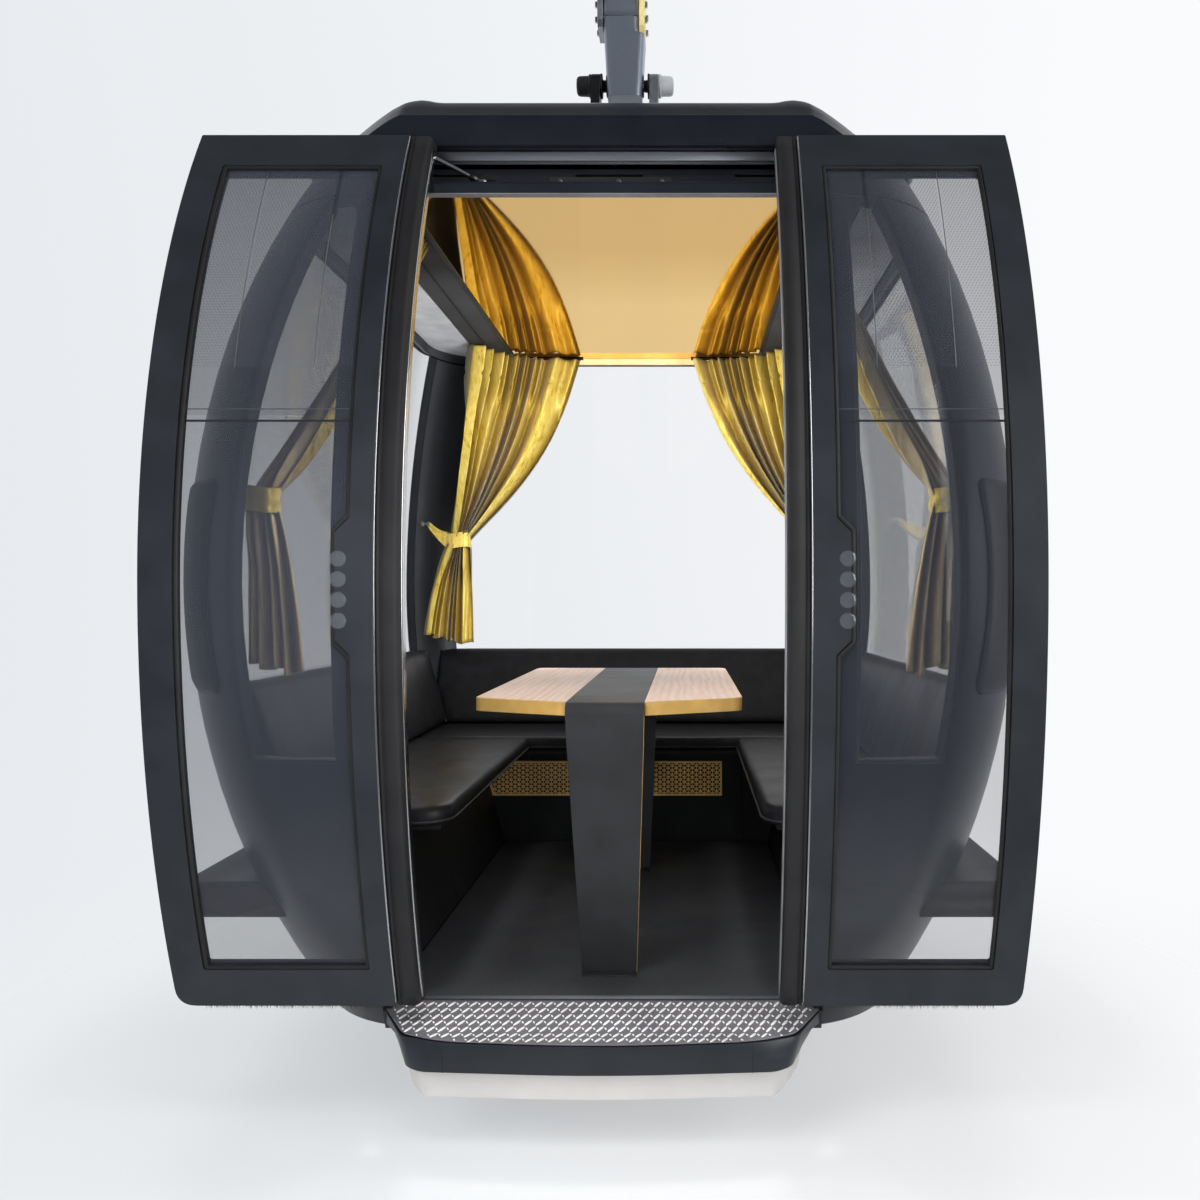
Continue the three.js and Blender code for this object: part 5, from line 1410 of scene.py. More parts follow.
def stuffed(piece, grip, pressure=4.0, most=0.012):
    """Evens a pad's mesh and blows it up as cloth; grip(point) from 0 to 1 is how firmly a point is held."""
    remesh = piece.modifiers.new("even mesh", "REMESH")
    remesh.mode, remesh.voxel_size, remesh.use_smooth_shade = "VOXEL", VOXEL, True
    mesh = bpy.data.meshes.new_from_object(evaluated(piece))
    piece.modifiers.clear()
    piece.data = mesh
    mesh.polygons.foreach_set("use_smooth", [True] * len(mesh.polygons))
    start = np.array([v.co for v in mesh.vertices])
    cloth = piece.modifiers.new("stuffing", "CLOTH")
    settings = cloth.settings
    settings.quality, settings.mass = 4, 0.4
    settings.tension_stiffness = settings.compression_stiffness = 14
    settings.shear_stiffness, settings.bending_stiffness = 8, 0.6
    settings.use_pressure, settings.uniform_pressure_force = True, pressure
    settings.effector_weights.gravity = 0
    pins = piece.vertex_groups.new(name="held")
    for i, p in enumerate(start):
        pins.add([i], grip(p), "REPLACE")
    settings.vertex_group_mass = "held"
    settings.pin_stiffness = 1.5
    cloth.point_cache.frame_start, cloth.point_cache.frame_end = 1, 16
    for moment in range(1, 17):
        scene.frame_set(moment)
    step = np.array([v.co for v in evaluated(piece).data.vertices]) - start
    scene.frame_set(1)
    piece.modifiers.clear()
    length = np.linalg.norm(step, axis=1)
    step *= (np.minimum(length, most) / np.maximum(length, 1e-9))[:, None]
    hold = np.array([1 - grip(p) for p in start])
    mesh.vertices.foreach_set("co", (start + step * hold[:, None]).ravel())
    mesh.update()
    return piece


def crowned(piece, x0, x1, y0, y1):
    """Raises the top of a seat pad towards the middle of its plan's rectangle."""
    for v in piece.data.vertices:
        share = max(0, min(1, min(v.co.x - x0, x1 - v.co.x, v.co.y - y0, y1 - v.co.y) / 0.12))
        upper = max(0, min(1, (v.co.z - (FLOOR + SEAT_TOP - 0.055)) / 0.04))
        v.co.z += 0.007 * upper * (share * (2 - share))


def puckered(piece, across, amount, scale, seed):
    """Soft unevenness of a cover over foam: broad swells and the short pulls near a seam."""
    for v in piece.data.vertices:
        broad = noise(Vector((v.co.x * scale, v.co.y * scale, v.co.z * scale * 0.6 + seed)))
        fine = noise(Vector((v.co.x * scale * 5, v.co.y * scale * 5, v.co.z * 2 + seed)))
        v.co += Vector(across(v.co)) * amount * (broad + 0.25 * fine)


def piping(name, points, radius=0.0032):
    rod(name, points, radius, PIPING, "leather")


SEAT_TOP, SEAT_THICK, BACK_TOP = 0.47, 0.058, 0.78
SEAT_IN, SEAT_BACK, SEAT_NEAR, REAR_FRONT, REAR_BACK = 0.4, 0.8, -0.878, 0.537, 0.942
SEAT_PLAY, SEAT_CLEAR = 0.002, WALL + 0.009
PAN_TOP = SEAT_TOP - SEAT_THICK
VOXEL = 0.0085


def seat_pad(word, plan, field, seed, keep_off):
    """A stuffed seat pad over a plan; field is the rectangle it crowns in, keep_off holds its mitred edge."""
    seat = pad_blank(f"{word}_seat_pad", plan, PAN_TOP + 0.001, SEAT_TOP - 0.011, 0.021)
    stuffed(seat, lambda p: 1.0 if p[2] < FLOOR + PAN_TOP + 0.006 else 0.25)
    crowned(seat, *field)
    puckered(seat, lambda p: (0, 0, 1), 0.0022, 5, seed)
    for v in seat.data.vertices:
        v.co.z = max(v.co.z, FLOOR + PAN_TOP + 0.0005)
        v.co.y = keep_off(v.co.y)
    finish(seat, LEATHER, "leather", f"{word}_seat")


print("a pad's foam is evened to", VOXEL, "m")

# %% [markdown]
# Two side pads and a rear pad make the U. Their outer edges follow the wall, their inner ones run straight, and
# only the near corners of the side pads are rounded, because a guest's knees pass there.

# %% Seat pads
ROLL = 0.095  # the rounded near corner of the side pads
REAR_END = 1.085
for word, side in SIDES:
    wall = [(inside_wall_x(PAN_TOP, y, SEAT_CLEAR), y) for y in span(SEAT_NEAR, REAR_FRONT - SEAT_PLAY, 22)]
    line = [(SEAT_IN, y) for y in (REAR_FRONT - SEAT_PLAY, 0.3, 0, -0.3, -0.6)]
    line += [(SEAT_IN + ROLL - ROLL * cos(a), SEAT_NEAR + ROLL - ROLL * sin(a)) for a in span(0, pi / 2, 8)]
    plan = in_plane(line + [(x, SEAT_NEAR) for x in (0.56, 0.64, 0.72)] + wall, side)
    plan = [p for i, p in enumerate(plan) if (p - plan[i - 1]).length > 1e-4]
    seat_pad(word, plan, (*sorted((side * SEAT_IN, side * 0.9)), SEAT_NEAR, REAR_FRONT), side,
        lambda y: min(y, REAR_FRONT - SEAT_PLAY))
    line = [(SEAT_IN - 0.0005, y) for y in span(REAR_FRONT - 0.01, SEAT_NEAR + ROLL, 14)]
    line += [(SEAT_IN + ROLL - (ROLL + 0.0005) * cos(a), SEAT_NEAR + ROLL - (ROLL + 0.0005) * sin(a))
        for a in span(0, pi / 2, 10)[1:]] + [(x, SEAT_NEAR - 0.0005) for x in (0.6, 0.7, 0.8, 0.84)]
    piping(f"{word}_seat_piping", [at(side * x, y, PAN_TOP + 0.012) for x, y in line])
start = REAR_FRONT + SEAT_PLAY
rim = [Vector((inside_wall_x(PAN_TOP, y, SEAT_CLEAR), y)) for y in span(start, REAR_END, 20)]
right = [Vector((x, start)) for x in span(0, 0.86, 20)[:-1] if x < rim[0].x - 0.01] + rim
right += [Vector((x, REAR_END)) for x in span(rim[-1].x, 0, 16)[1:]]
seat_pad("rear", right + in_plane(reversed(right[1:-1]), -1), (-0.9, 0.9, REAR_FRONT, 1.1), 4.0,
    lambda y: max(y, start))
piping("rear_seat_piping", [at(x, REAR_FRONT + 0.0005, PAN_TOP + 0.012) for x in span(-0.396, 0.396, 20)])
print("seat pads of", SEAT_THICK * 1000, "mm at", SEAT_TOP)

# %% [markdown]
# The backrests lean with the walls and meet in a mitred corner, where the cover is sewn and pulls in. They are
# the same kind of pad stood on edge, so a section is swept round the wall instead of a plan being raised.

# %% Backrests
LEAN_END, LEAN_REAR, MITRE = 0.105, 0.13, 0.142


def back_pad(word, stations, front_at, back_at, across, seed, mitred):
    """Sweeps a backrest's section along stations; front_at and back_at give its faces at (station, height)."""
    heights = [(SEAT_TOP + 0.0015 + (BACK_TOP - SEAT_TOP - 0.003) * t, t) for t in span(0, 1, 18)]
    rows = []
    for i, station in enumerate(stations):
        pull = 0.011 * exp(-(min(i, len(stations) - 1 - i) / 1.4) ** 2)
        ring = []
        for z, t in heights:
            roll = 0.016 * (1 - min(1, min(t, 1 - t) / 0.09)) ** 2
            swell = 0.007 * sin(pi * t) ** 0.6 if 0 < t < 1 else 0
            ring.append(at(*front_at(station, z, swell - roll - pull), z))
        rows.append(ring + [at(*back_at(station, z), z) for z, t in reversed(heights)])
    pad = stuffed(lofted(f"{word}_back_pad", rows), lambda p: 0.35, 3.0)
    puckered(pad, across, 0.004, 4.5, seed)
    for v in pad.data.vertices:
        v.co.z = max(v.co.z, FLOOR + SEAT_TOP + 0.001)
        mitred(v.co)
    finish(pad, LEATHER, "leather", f"{word}_backrest")


def leaning(start, lean, z):
    """The depth of a backrest's face at a height."""
    return start + lean * (z - SEAT_TOP) / (BACK_TOP - SEAT_TOP)


for word, side in SIDES:
    def front(y, z, out):
        x = leaning(SEAT_BACK, LEAN_END, z)
        x = max(x, y - MITRE) if y > 0.94 else x
        return side * min(x - out, inside_wall_x(z, y, WALL + 0.016) - 0.004), y

    def into_room(p):
        return (-side if abs(p.x) < inside_wall_x(p.z - FLOOR, p.y, WALL + 0.03) else 0, 0, 0)

    def mitred(p):
        p.x = side * max(side * p.x, p.y - MITRE + 0.0015)

    back_pad(word, span(-0.85, 1.02, 44), front, lambda y, z: (side * inside_wall_x(z, y, WALL + 0.011), y),
        into_room, 2 + side, mitred)


def rear_front(x, z, out):
    return x, max(leaning(REAR_BACK, LEAN_REAR, z) - out, abs(x) + MITRE + 0.0045)


def rear_rear(x, z):
    past = max(0, abs(x) - (end_x(z) - CORNER))
    y = face_y(z) - CORNER + sqrt(max(0, (CORNER - WALL - 0.011) ** 2 - past ** 2))
    return x, max(y, abs(x) + MITRE + 0.006)


def rear_mitred(p):
    p.y = max(p.y, abs(p.x) + MITRE + 0.0015)


back_pad("rear", span(-0.86, 0.86, 44), rear_front, rear_rear, lambda p: (0,
    -1 if p.y < face_y(p.z - FLOOR) - WALL - 0.03 else 0, 0), 9.0, rear_mitred)
for word, side in SIDES:
    depths = [(leaning(SEAT_BACK, LEAN_END, z), z) for z in span(SEAT_TOP + 0.004, BACK_TOP - 0.006, 14)]
    piping(f"{word}_corner_piping", [at(side * (x + 0.008), x + MITRE + 0.006, z) for x, z in depths], 0.003)
print("backrests up to", BACK_TOP)

# %% [markdown]
# ## Table, bench fronts and grille
# The table is two leaves of oak veneer with a brass edge band, on a stand folded from one black plate: it comes up
# as a leg, runs between the leaves as a band and goes down again at the rear. The edge band is its own thin
# piece, since it is what is glued on; it is cut a hair proud of the wood, so that it throws its own line.

# %% Table leaves and edge bands
TABLE_TOP, TABLE_HALF, TABLE_BAND, TABLE_THICK = 0.735, 0.35, 0.098, 0.035
TABLE_FRONT, TABLE_REAR = -0.945, 0.44


def leaf_plan(inset):
    near, far, rear = TABLE_BAND + 0.0008, TABLE_HALF - inset, TABLE_REAR - inset
    return rounded([(near, rear, 0), (near, TABLE_FRONT + 0.03 + inset, 0),
        (far, TABLE_FRONT + 0.155 + inset, 0.045), (far, rear, 0.04)], 0.04, 8)


for word, side in SIDES:
    plate(f"table_{word}_board", in_plane(leaf_plan(0.0012), side), "z", TABLE_TOP - TABLE_THICK, TABLE_TOP,
        OAK, "wood", f"table_{word}_leaf", (0.001, 2))
    edge = dense(leaf_plan(0), 0.03)
    start = min(range(len(edge)), key=lambda i: (edge[i] - Vector((TABLE_BAND, TABLE_FRONT + 0.03))).length)
    edge = edge[start:] + edge[:start]
    strip = edge[:1] + [p for p in edge[1:] if p.x > TABLE_BAND + 0.002]
    strip.append(Vector((TABLE_BAND + 0.0008, TABLE_REAR)))
    band = surface(f"table_{word}_edge_band", [[at(side * p.x, p.y, TABLE_TOP - TABLE_THICK + 0.0004
        + (TABLE_THICK - 0.0012) * t) for p in strip] for t in (0, 0.03, 0.5, 0.97, 1)])
    finish(thicken(band, 0.0016, 0, even=False), BRASS, "gold_mirror")
print("table", 2 * TABLE_HALF, "by", round(TABLE_REAR - TABLE_FRONT, 3), "m")

# %% [markdown]
# The stand's plate is drawn as one line from the front foot over both folds to the rear foot, and every station
# of that line gets the plate's width and thickness. It is narrower at the feet.

# %% Folded stand
PLATE, FOOT_HALF, FOOT = 0.008, 0.072, 0.0044
RAKE_FRONT, RAKE_REAR = 0.185, 0.125
STAND_REAR = TABLE_REAR + 0.025


def stand_profile():
    """The plate's outer face from the front foot, over both folds, to the rear foot, as (y, height)."""
    front, rear, bend = TABLE_FRONT, STAND_REAR, TABLE_TOP - 0.03
    fold = in_plane([(front + 0.002, bend), (front + 0.004, TABLE_TOP), (front + 0.03, TABLE_TOP)])
    rear_fold = in_plane([(rear - 0.03, TABLE_TOP), (rear - 0.004, TABLE_TOP), (rear - 0.002, bend)])
    line = [Vector((front + RAKE_FRONT, FOOT)).lerp(fold[0], t) for t in span(0, 1, 10)[:-1]]
    line += [bezier(fold, t) for t in span(0, 1, 8)]
    line += [fold[2].lerp(rear_fold[0], t) for t in span(0, 1, 12)[1:-1]]
    line += [bezier(rear_fold, t) for t in span(0, 1, 8)]
    return line + [rear_fold[2].lerp(Vector((rear - RAKE_REAR, FOOT)), t) for t in span(0, 1, 10)[1:]]


def stand_half(height):
    return min(TABLE_BAND, FOOT_HALF + (TABLE_BAND - FOOT_HALF) * height / (TABLE_TOP - 0.06))


def headings(line):
    """The points of a line, each with the direction in which the line passes it."""
    return [(p, (line[min(i + 1, len(line) - 1)] - line[max(i - 1, 0)]).normalized()) for i,
        p in enumerate(line)]


line = stand_profile()
rows = []
for p, ahead in headings(line):
    q = p + Vector((ahead.y, -ahead.x)) * PLATE
    half, half_in = stand_half(p.y), stand_half(q.y)
    rows.append([at(-half, *p), at(half, *p), at(half_in, q.x, max(q.y, FOOT)),
        at(-half_in, q.x, max(q.y, FOOT))])
finish(soften(lofted("table_stand_plate", rows), 0.0012, 2, 50), BLACK_PLATE, "black_metal", "table_stand")
rod("stand_gold_line", [at(stand_half(p.y) + 0.0005, p.x + 0.0015, p.y) for p in line[:11]], 0.0007, BRASS,
    "gold_mirror", 1)
for word, low in (("front", -0.79), ("rear", 0.3)):
    plate(f"stand_{word}_foot", rounded(rectangle(-FOOT_HALF, FOOT_HALF, low, low + 0.07), 0.006), "z",
        FOOT - 0.0004, FOOT + 0.004, BLACK_PLATE, "black_metal", edge=(0.001, 2))
bolts("stand_bolt", [at(x, y, FOOT + 0.004) for x in (-0.05, 0.05) for y in (-0.735, 0.315)], (0, 0, 1), 0.006,
    DARK_STEEL)
print("stand of", PLATE * 1000, "mm plate")

# %% [markdown]
# Under the seats are folded bench fronts with a shadow gap below the pan, and a heater grille of gold sheet. Its
# holes stand in a honeycomb, so the sheet is tiled from triangles that each have one small hole in the middle,
# and the tiling is then trimmed to the grille's outline.

# %% Bench fronts
BENCH_FOOT, BENCH_LEAN, REAR_BENCH, FOLD = 0.537, 0.267, 0.8, 0.03
SEAT_FOOT = PAN_TOP - 0.0006
UNDER_PAN = SEAT_FOOT - 0.025


def bench_x(z):
    return BENCH_FOOT + BENCH_LEAN * (z - FOOT)


def pan_edge(front):
    """The pan's folded nose over the shadow gap, from its top down."""
    return [(front + 0.046, SEAT_FOOT), (front + 0.04, SEAT_FOOT - 0.006), (front + 0.04, UNDER_PAN + 0.004),
        (front + 0.044, UNDER_PAN)]


for word, side in SIDES:
    section = [(BENCH_FOOT, FOOT), (BENCH_FOOT + FOLD, FOOT), (bench_x(0.33) + FOLD, 0.33), (0.84, 0.37),
        (0.86, SEAT_FOOT), *pan_edge(SEAT_IN), (bench_x(UNDER_PAN) - 0.002, UNDER_PAN)]
    rows = [[at(side * min(x, inside_wall_x(0.2, y, WALL + 0.007)), y, z) for x, z in section]
        for y in span(-0.783, REAR_BENCH - 0.0008, 20)]
    finish(soften(lofted(f"{word}_bench_front", rows), 0.002, 2, 30), BLACK_PLASTIC, "black_plastic",
        f"{word}_bench_base")
    for i, y in enumerate((-0.55, -0.1, 0.35)):
        rod(f"{word}_bench_seam_{i}", [at(side * (bench_x(z) - 0.0008), y, z)
            for z in (0.02, 0.2, UNDER_PAN - 0.01)], 0.0012, RUBBER, "rubber", 1)
    plate(f"rear_bench_{word}_wing", rectangle(REAR_BENCH, REAR_BENCH + FOLD, FOOT, SEAT_FOOT), "x",
        side * 0.4365, side * 0.83, BLACK_PLASTIC, "black_plastic")
plate("rear_bench_front", in_plane([(REAR_BENCH, FOOT), (REAR_BENCH + FOLD, FOOT),
    (REAR_BENCH + FOLD, UNDER_PAN), (1.06, UNDER_PAN), (1.06, SEAT_FOOT), *pan_edge(REAR_FRONT),
    (REAR_BENCH, UNDER_PAN)]), "x", -0.436, 0.436, BLACK_PLASTIC, "black_plastic", "rear_bench_base",
    (0.002, 2, 30))
print("bench fronts")

# %% [markdown]
# The grille's tiles are laid as triangles in pairs. Each has its own little hole of twelve corners, and the
# joints between tiles are merged afterwards, so that the sheet is one mesh.

# %% Perforated grille
GRILLE_PITCH = 0.019
GRILLE_LEFT, GRILLE_RIGHT, GRILLE_LOW, GRILLE_HIGH = -0.586, 0.352, 0.19, 0.333


def perforated(name, margin=0.007):
    """Sheet whose holes stand at the corners of a honeycomb, trimmed to a leaning left end."""
    work = bmesh.new()
    rise = GRILLE_PITCH * sqrt(3) / 2
    around = [(k, t) for k in range(3) for t in (0, 0.25, 0.5, 0.75)]
    for i in range(int((GRILLE_LEFT - 0.08) / rise), int(GRILLE_RIGHT / rise) + 2):
        for j in range(int(GRILLE_LOW / GRILLE_PITCH) - 1, int(GRILLE_HIGH / GRILLE_PITCH) + 2):
            a = Vector((i * rise, (j + i % 2 / 2) * GRILLE_PITCH))
            for way in (1, -1):
                corners = [a, a + Vector((0, GRILLE_PITCH)), a + Vector((way * rise, GRILLE_PITCH / 2))]
                centre = sum(corners, Vector((0, 0))) / 3
                outer = [corners[k].lerp(corners[(k + 1) % 3], t) for k, t in around]
                inner = [centre + (p - centre).normalized() * GRILLE_PITCH * (0.245 + 0.03
                    * cos(2 * pi * (k + t))) for (k, t), p in zip(around, outer)]
                outer, inner = [[work.verts.new((p.x, 0, p.y)) for p in ring] for ring in (outer, inner)]
                for (p, q), (r, s) in zip(loop_pairs(outer), loop_pairs(inner)):
                    work.faces.new((p, q, s, r))
    bmesh.ops.remove_doubles(work, verts=work.verts, dist=1e-5)
    for place, normal in (((GRILLE_RIGHT - margin, 0, 0), (1, 0, 0)), ((0, 0, GRILLE_LOW + margin),
            (0, 0, -1)), ((0, 0, GRILLE_HIGH - margin), (0, 0, 1)), ((GRILLE_LEFT + margin, 0, GRILLE_LOW),
            (-1, 0, -BENCH_LEAN))):
        cut(work, Vector(place), Vector(normal).normalized(), clear_outer=True, dist=1e-6)
    for v in work.verts:
        v.co = at(v.co.x, REAR_BENCH - 0.0068, v.co.z)
    return from_bmesh(name, work, smooth=False)


def grille_frame(grow):
    left = GRILLE_LEFT - grow
    return in_plane([(left, GRILLE_LOW - grow), (GRILLE_RIGHT + grow, GRILLE_LOW - grow),
        (GRILLE_RIGHT + grow, GRILLE_HIGH + grow), (left - BENCH_LEAN * (GRILLE_HIGH - GRILLE_LOW),
        GRILLE_HIGH + grow)])


sheet = perforated("grille_sheet")
if sheet.data.polygons[0].normal.y > 0:
    sheet.data.flip_normals()
finish(thicken(sheet, 0.0016, even=False), GOLD_SHEET, "gold_grille", "bench_grille")
plate("grille_border", grille_frame(-0.001), "y", REAR_BENCH - 0.008, REAR_BENCH - 0.005, GOLD_SHEET,
    "gold_grille", edge=(0.0006, 1), holes=[grille_frame(-0.009)])
finish(prism("grille_backing", grille_frame(-0.004), "y", REAR_BENCH - 0.0022, REAR_BENCH - 0.0012), RUBBER,
    "rubber")
print("grille holes", GRILLE_PITCH * 1000, "mm apart")

# %% [markdown]
# ## Floor, step and bumpers
# The step carries a tread plate that runs in one surface from the sill down to the step's edge. Its bars lie
# alternately along two diagonals. They are rolled into the metal and catch the light one by one, which no flat
# picture of bars would do, so each bar is a small raised lens on the sheet; their near-white colour is partly the
# polish of wear and partly a painted highlight. The skirt is pressed, with rounded lower corners.

# %% Floor, sill and mat
rings = []
for height, inset in ((BOTTOM, WALL + 0.006), (BOTTOM, WALL + 0.001), (-0.004, WALL + 0.001),
        (0, WALL + 0.006)):
    loop = [body_point(t, height, inset, False) for t in span(0, 3, 42)]
    loop += [body_point(t, height, inset, True) for t in span(3, 0, 42)[1:]]
    rings.append(loop + [Vector((-p.x, p.y, p.z)) for p in reversed(loop[1:-1])])
finish(soften(lofted("floor_slab", rings), 0.002, 1), BODY_PAINT, "body_paint", "floor_pan")
plate("door_sill", in_plane([(-face_y(BOTTOM), BOTTOM), (-face_y(0), -0.0075), (-0.955, -0.001),
    (-0.943, -0.001), (-0.942, -0.0005), (-0.93, -0.0005), (-0.93, BOTTOM)]), "x", -LINTEL_HALF, LINTEL_HALF,
    BODY_PAINT, "body_paint", edge=(0.0015, 2))
plate("floor_covering", rectangle(-0.535, 0.535, -0.944, 0.798), "z", 0.0004, 0.004, FLOORING, "floor_mat",
    "floor_mat")
finish(prism("sill_trim", rounded([(-0.944, -0.0004), (-0.944, 0.0042), (-0.941, 0.0055), (-0.928, 0.0055),
    (-0.928, 0.0042)], 0.0008, 2), "x", -0.534, 0.534), RAIL_METAL, "pale_metal")
SCREW = [(0, 0), (0, 0.0042), (0.0009, 0.0036), (0.0012, 0.0022), (0.0006, 0.0018), (0.0006, 0)]
for i, x in enumerate(span(-0.48, 0.48, 6)):
    turned(f"sill_screw_{i}", SCREW, at(x, -0.936, 0.0035), (0, 0, 1), 16, STEEL)
print("floor, sill and mat")

# %% [markdown]
# The step's fascia and skirt are lofts through plans of the step, one for each level. The fascia's upper edge
# follows the tread's slope, and a flat ring below closes it.

# %% Step
STEP_TOP, STEP_FOOT, SKIRT_FOOT = -0.02, -0.092, -0.16
STEP_BACK = -(face_y(STEP_TOP) + 0.0024)
STEP_DEPTH, STEP_HALF = 0.188, 0.534
SILL_TOP, TREAD_TOP = 0.0012, STEP_TOP - 0.0018
SLOPE = (-0.955, -1.1)  # where the tread leaves the sill's level and where it meets the step's
SILL_FRONT, SILL_HALF = -0.9445, 0.5055


def tread_level(y):
    """The height of the tread's surface: the sill, a gentle slope and the step."""
    share = max(0, min(1, (y - SLOPE[0]) / (SLOPE[1] - SLOPE[0])))
    return SILL_TOP + (TREAD_TOP - SILL_TOP) * share


def step_plan(half, back, low, corner=0.055, square=0.0):
    """The step's plan at one level: a bowed front and rounded corners, squarer towards the foot."""
    front = STEP_BACK - STEP_DEPTH + back
    right = [(half, STEP_BACK, 0.002), (half - 0.068 + 0.03 * square, front + 0.075 - 0.02 * square, corner),
        (0.36 + 0.05 * square, front + 0.03 - 0.004 * square, 0.32 - 0.1 * square)]
    left = [(-x, y, r) for x, y, r in reversed(right)]
    return [at(*p, low) for p in rounded(right + [(0, front, 2.6)] + left, 0.05, 10)]


def front_at(x, ring):
    """The point of a ring's front where it passes a place across."""
    passed = [a.lerp(b, (x - a.x) / (b.x - a.x)) for a, b in loop_pairs(ring) if (a.x - x) * (b.x - x) <= 0
        and a.x != b.x]
    return min(passed, key=lambda p: p.y)


rings = []
for z, inset in ((STEP_FOOT, 0.002), (STEP_FOOT + 0.002, 0), (STEP_FOOT + 0.03, 0), (STEP_TOP - 0.03, 0),
        (STEP_TOP - 0.008, 0), (STEP_TOP - 0.0055, 0.001), (STEP_TOP - 0.0045, 0.004)):
    share = (z - STEP_FOOT) / (STEP_TOP - STEP_FOOT)
    half = STEP_HALF - 0.048 * (1 - share) - inset
    ring = step_plan(half, inset + 0.006 * (1 - share), z, square=1 - share)
    for p in ring:
        p.z += share ** 2 * (tread_level(p.y) - TREAD_TOP)
    rings.append(ring)
under_tread = step_plan(half, inset, STEP_TOP - 0.02)  # the cap stays flat, below the tread's slope
finish(lofted("step_fascia", rings + [under_tread]), LEAF_PAINT, "black_plastic", "step_frame")
for word, side in SIDES:
    rod(f"step_{word}_joint", [front_at(side * 0.355, ring) + Vector((0, 0.0003, 0)) for ring in rings],
        0.0011, RUBBER, "rubber", 1)
rings = []
for t in span(0, 1, 12):
    curve = 1 - sqrt(1 - (1 - min(1, t / 0.42)) ** 2)
    rings.append(step_plan(STEP_HALF - 0.05 - 0.012 * (1 - t) - 0.014 * curve, 0.026 + 0.012 * (1 - t),
        SKIRT_FOOT + (STEP_FOOT - 0.0004 - SKIRT_FOOT) * t, 0.05, 1))
finish(soften(lofted("step_skirt_sheet", rings), 0.003, 3), PALE_SHEET, "pale_metal", "step_skirt")
print("step", round(2 * STEP_HALF, 3), "m wide at the sill")

# %% [markdown]
# The tread's sheet is a grid that bends over the slope with the sill. Bars are set on it row by row; a bar is
# left out where it would hang over an edge.

# %% Tread plate
outline = [p.xy for p in step_plan(STEP_HALF - 0.006, 0.006, 0)]
sill_plan = rectangle(-SILL_HALF, SILL_HALF, SLOPE[0] - 0.07, SILL_FRONT)
rows = []
for x in span(-STEP_HALF + 0.0075, STEP_HALF - 0.0075, 88):
    back = SILL_FRONT if abs(x) <= SILL_HALF else STEP_BACK - 0.001
    rows.append([at(x, y, tread_level(y)) for y in span(back, front_at(x, outline).y, 16)])
sheet = surface("tread_sheet", rows)
if sheet.data.polygons[0].normal.z < 0:
    sheet.data.flip_normals()
finish(thicken(sheet, 0.0018), TREAD, "tread_plate", "step_tread")


def inside(p, polygon, margin):
    """Whether a point lies in a polygon, away from its edges by a margin."""
    hit = False
    for a, b in loop_pairs(polygon):
        if (a.y > p.y) != (b.y > p.y) and p.x < (b.x - a.x) * (p.y - a.y) / (b.y - a.y) + a.x:
            hit = not hit
        t = max(0, min(1, (p - a).dot(b - a) / max((b - a).length_squared, 1e-12)))
        if (p - a.lerp(b, t)).length < margin:
            return False
    return hit


def add_bar(work, centre, turn, length, width, rise=0.002):
    """One raised bar: rings that draw in and up to a point, like a worn lens."""
    along, wide = Vector((cos(turn), sin(turn))), Vector((-sin(turn), cos(turn)))
    rows = []
    for scale, lift in ((1, 0), (0.92, 0.5), (0.7, 0.88), (0.3, 1)):
        places = [centre + along * length * scale * copysign(abs(cos(a)) ** 0.75, cos(a)) + wide * width
            * scale * sin(a) for a in span(0, 2 * pi, 12)[:-1]]
        rows.append([work.verts.new(at(*p, tread_level(p.y) - 0.0001 + rise * lift)) for p in places])
    for low, high in zip(rows, rows[1:]):
        for (a, b), (c, d) in zip(loop_pairs(low), loop_pairs(high)):
            work.faces.new((a, b, d, c))
    work.faces.new(rows[-1])


BAR_PITCH, ROW_PITCH = 0.0265, 0.0275
work = bmesh.new()
bars = 0
for j in range(-9, 6):
    for i in range(-21, 22):
        for shift, nudge, turn, length, width in ((0, 0, 1.0, 0.0137, 0.0034),
                (0.5, 0.002, 2.1, 0.0046, 0.002)):
            centre = Vector((BAR_PITCH * (i + 0.5 * (j % 2) + shift), STEP_BACK + 0.018 + ROW_PITCH * j
                + nudge))
            if any(inside(centre, plan, length * 0.7) for plan in (outline, sill_plan)):
                add_bar(work, centre, turn, length, width)
                bars += 1
# The bars' near-white is partly worn polish, partly a painted highlight.
finish(from_bmesh("tread_bars", work), WORN_BAR_PAINTED_HIGHLIGHT, "tread_plate")
print(bars, "raised bars on the tread plate")

# %% [markdown]
# The end bumpers are solid rubber section round both ends, which keeps two cabins apart in the garage. The
# underframe is galvanised box section bolted to the floor. Rub pads on the corners take the guide rails.

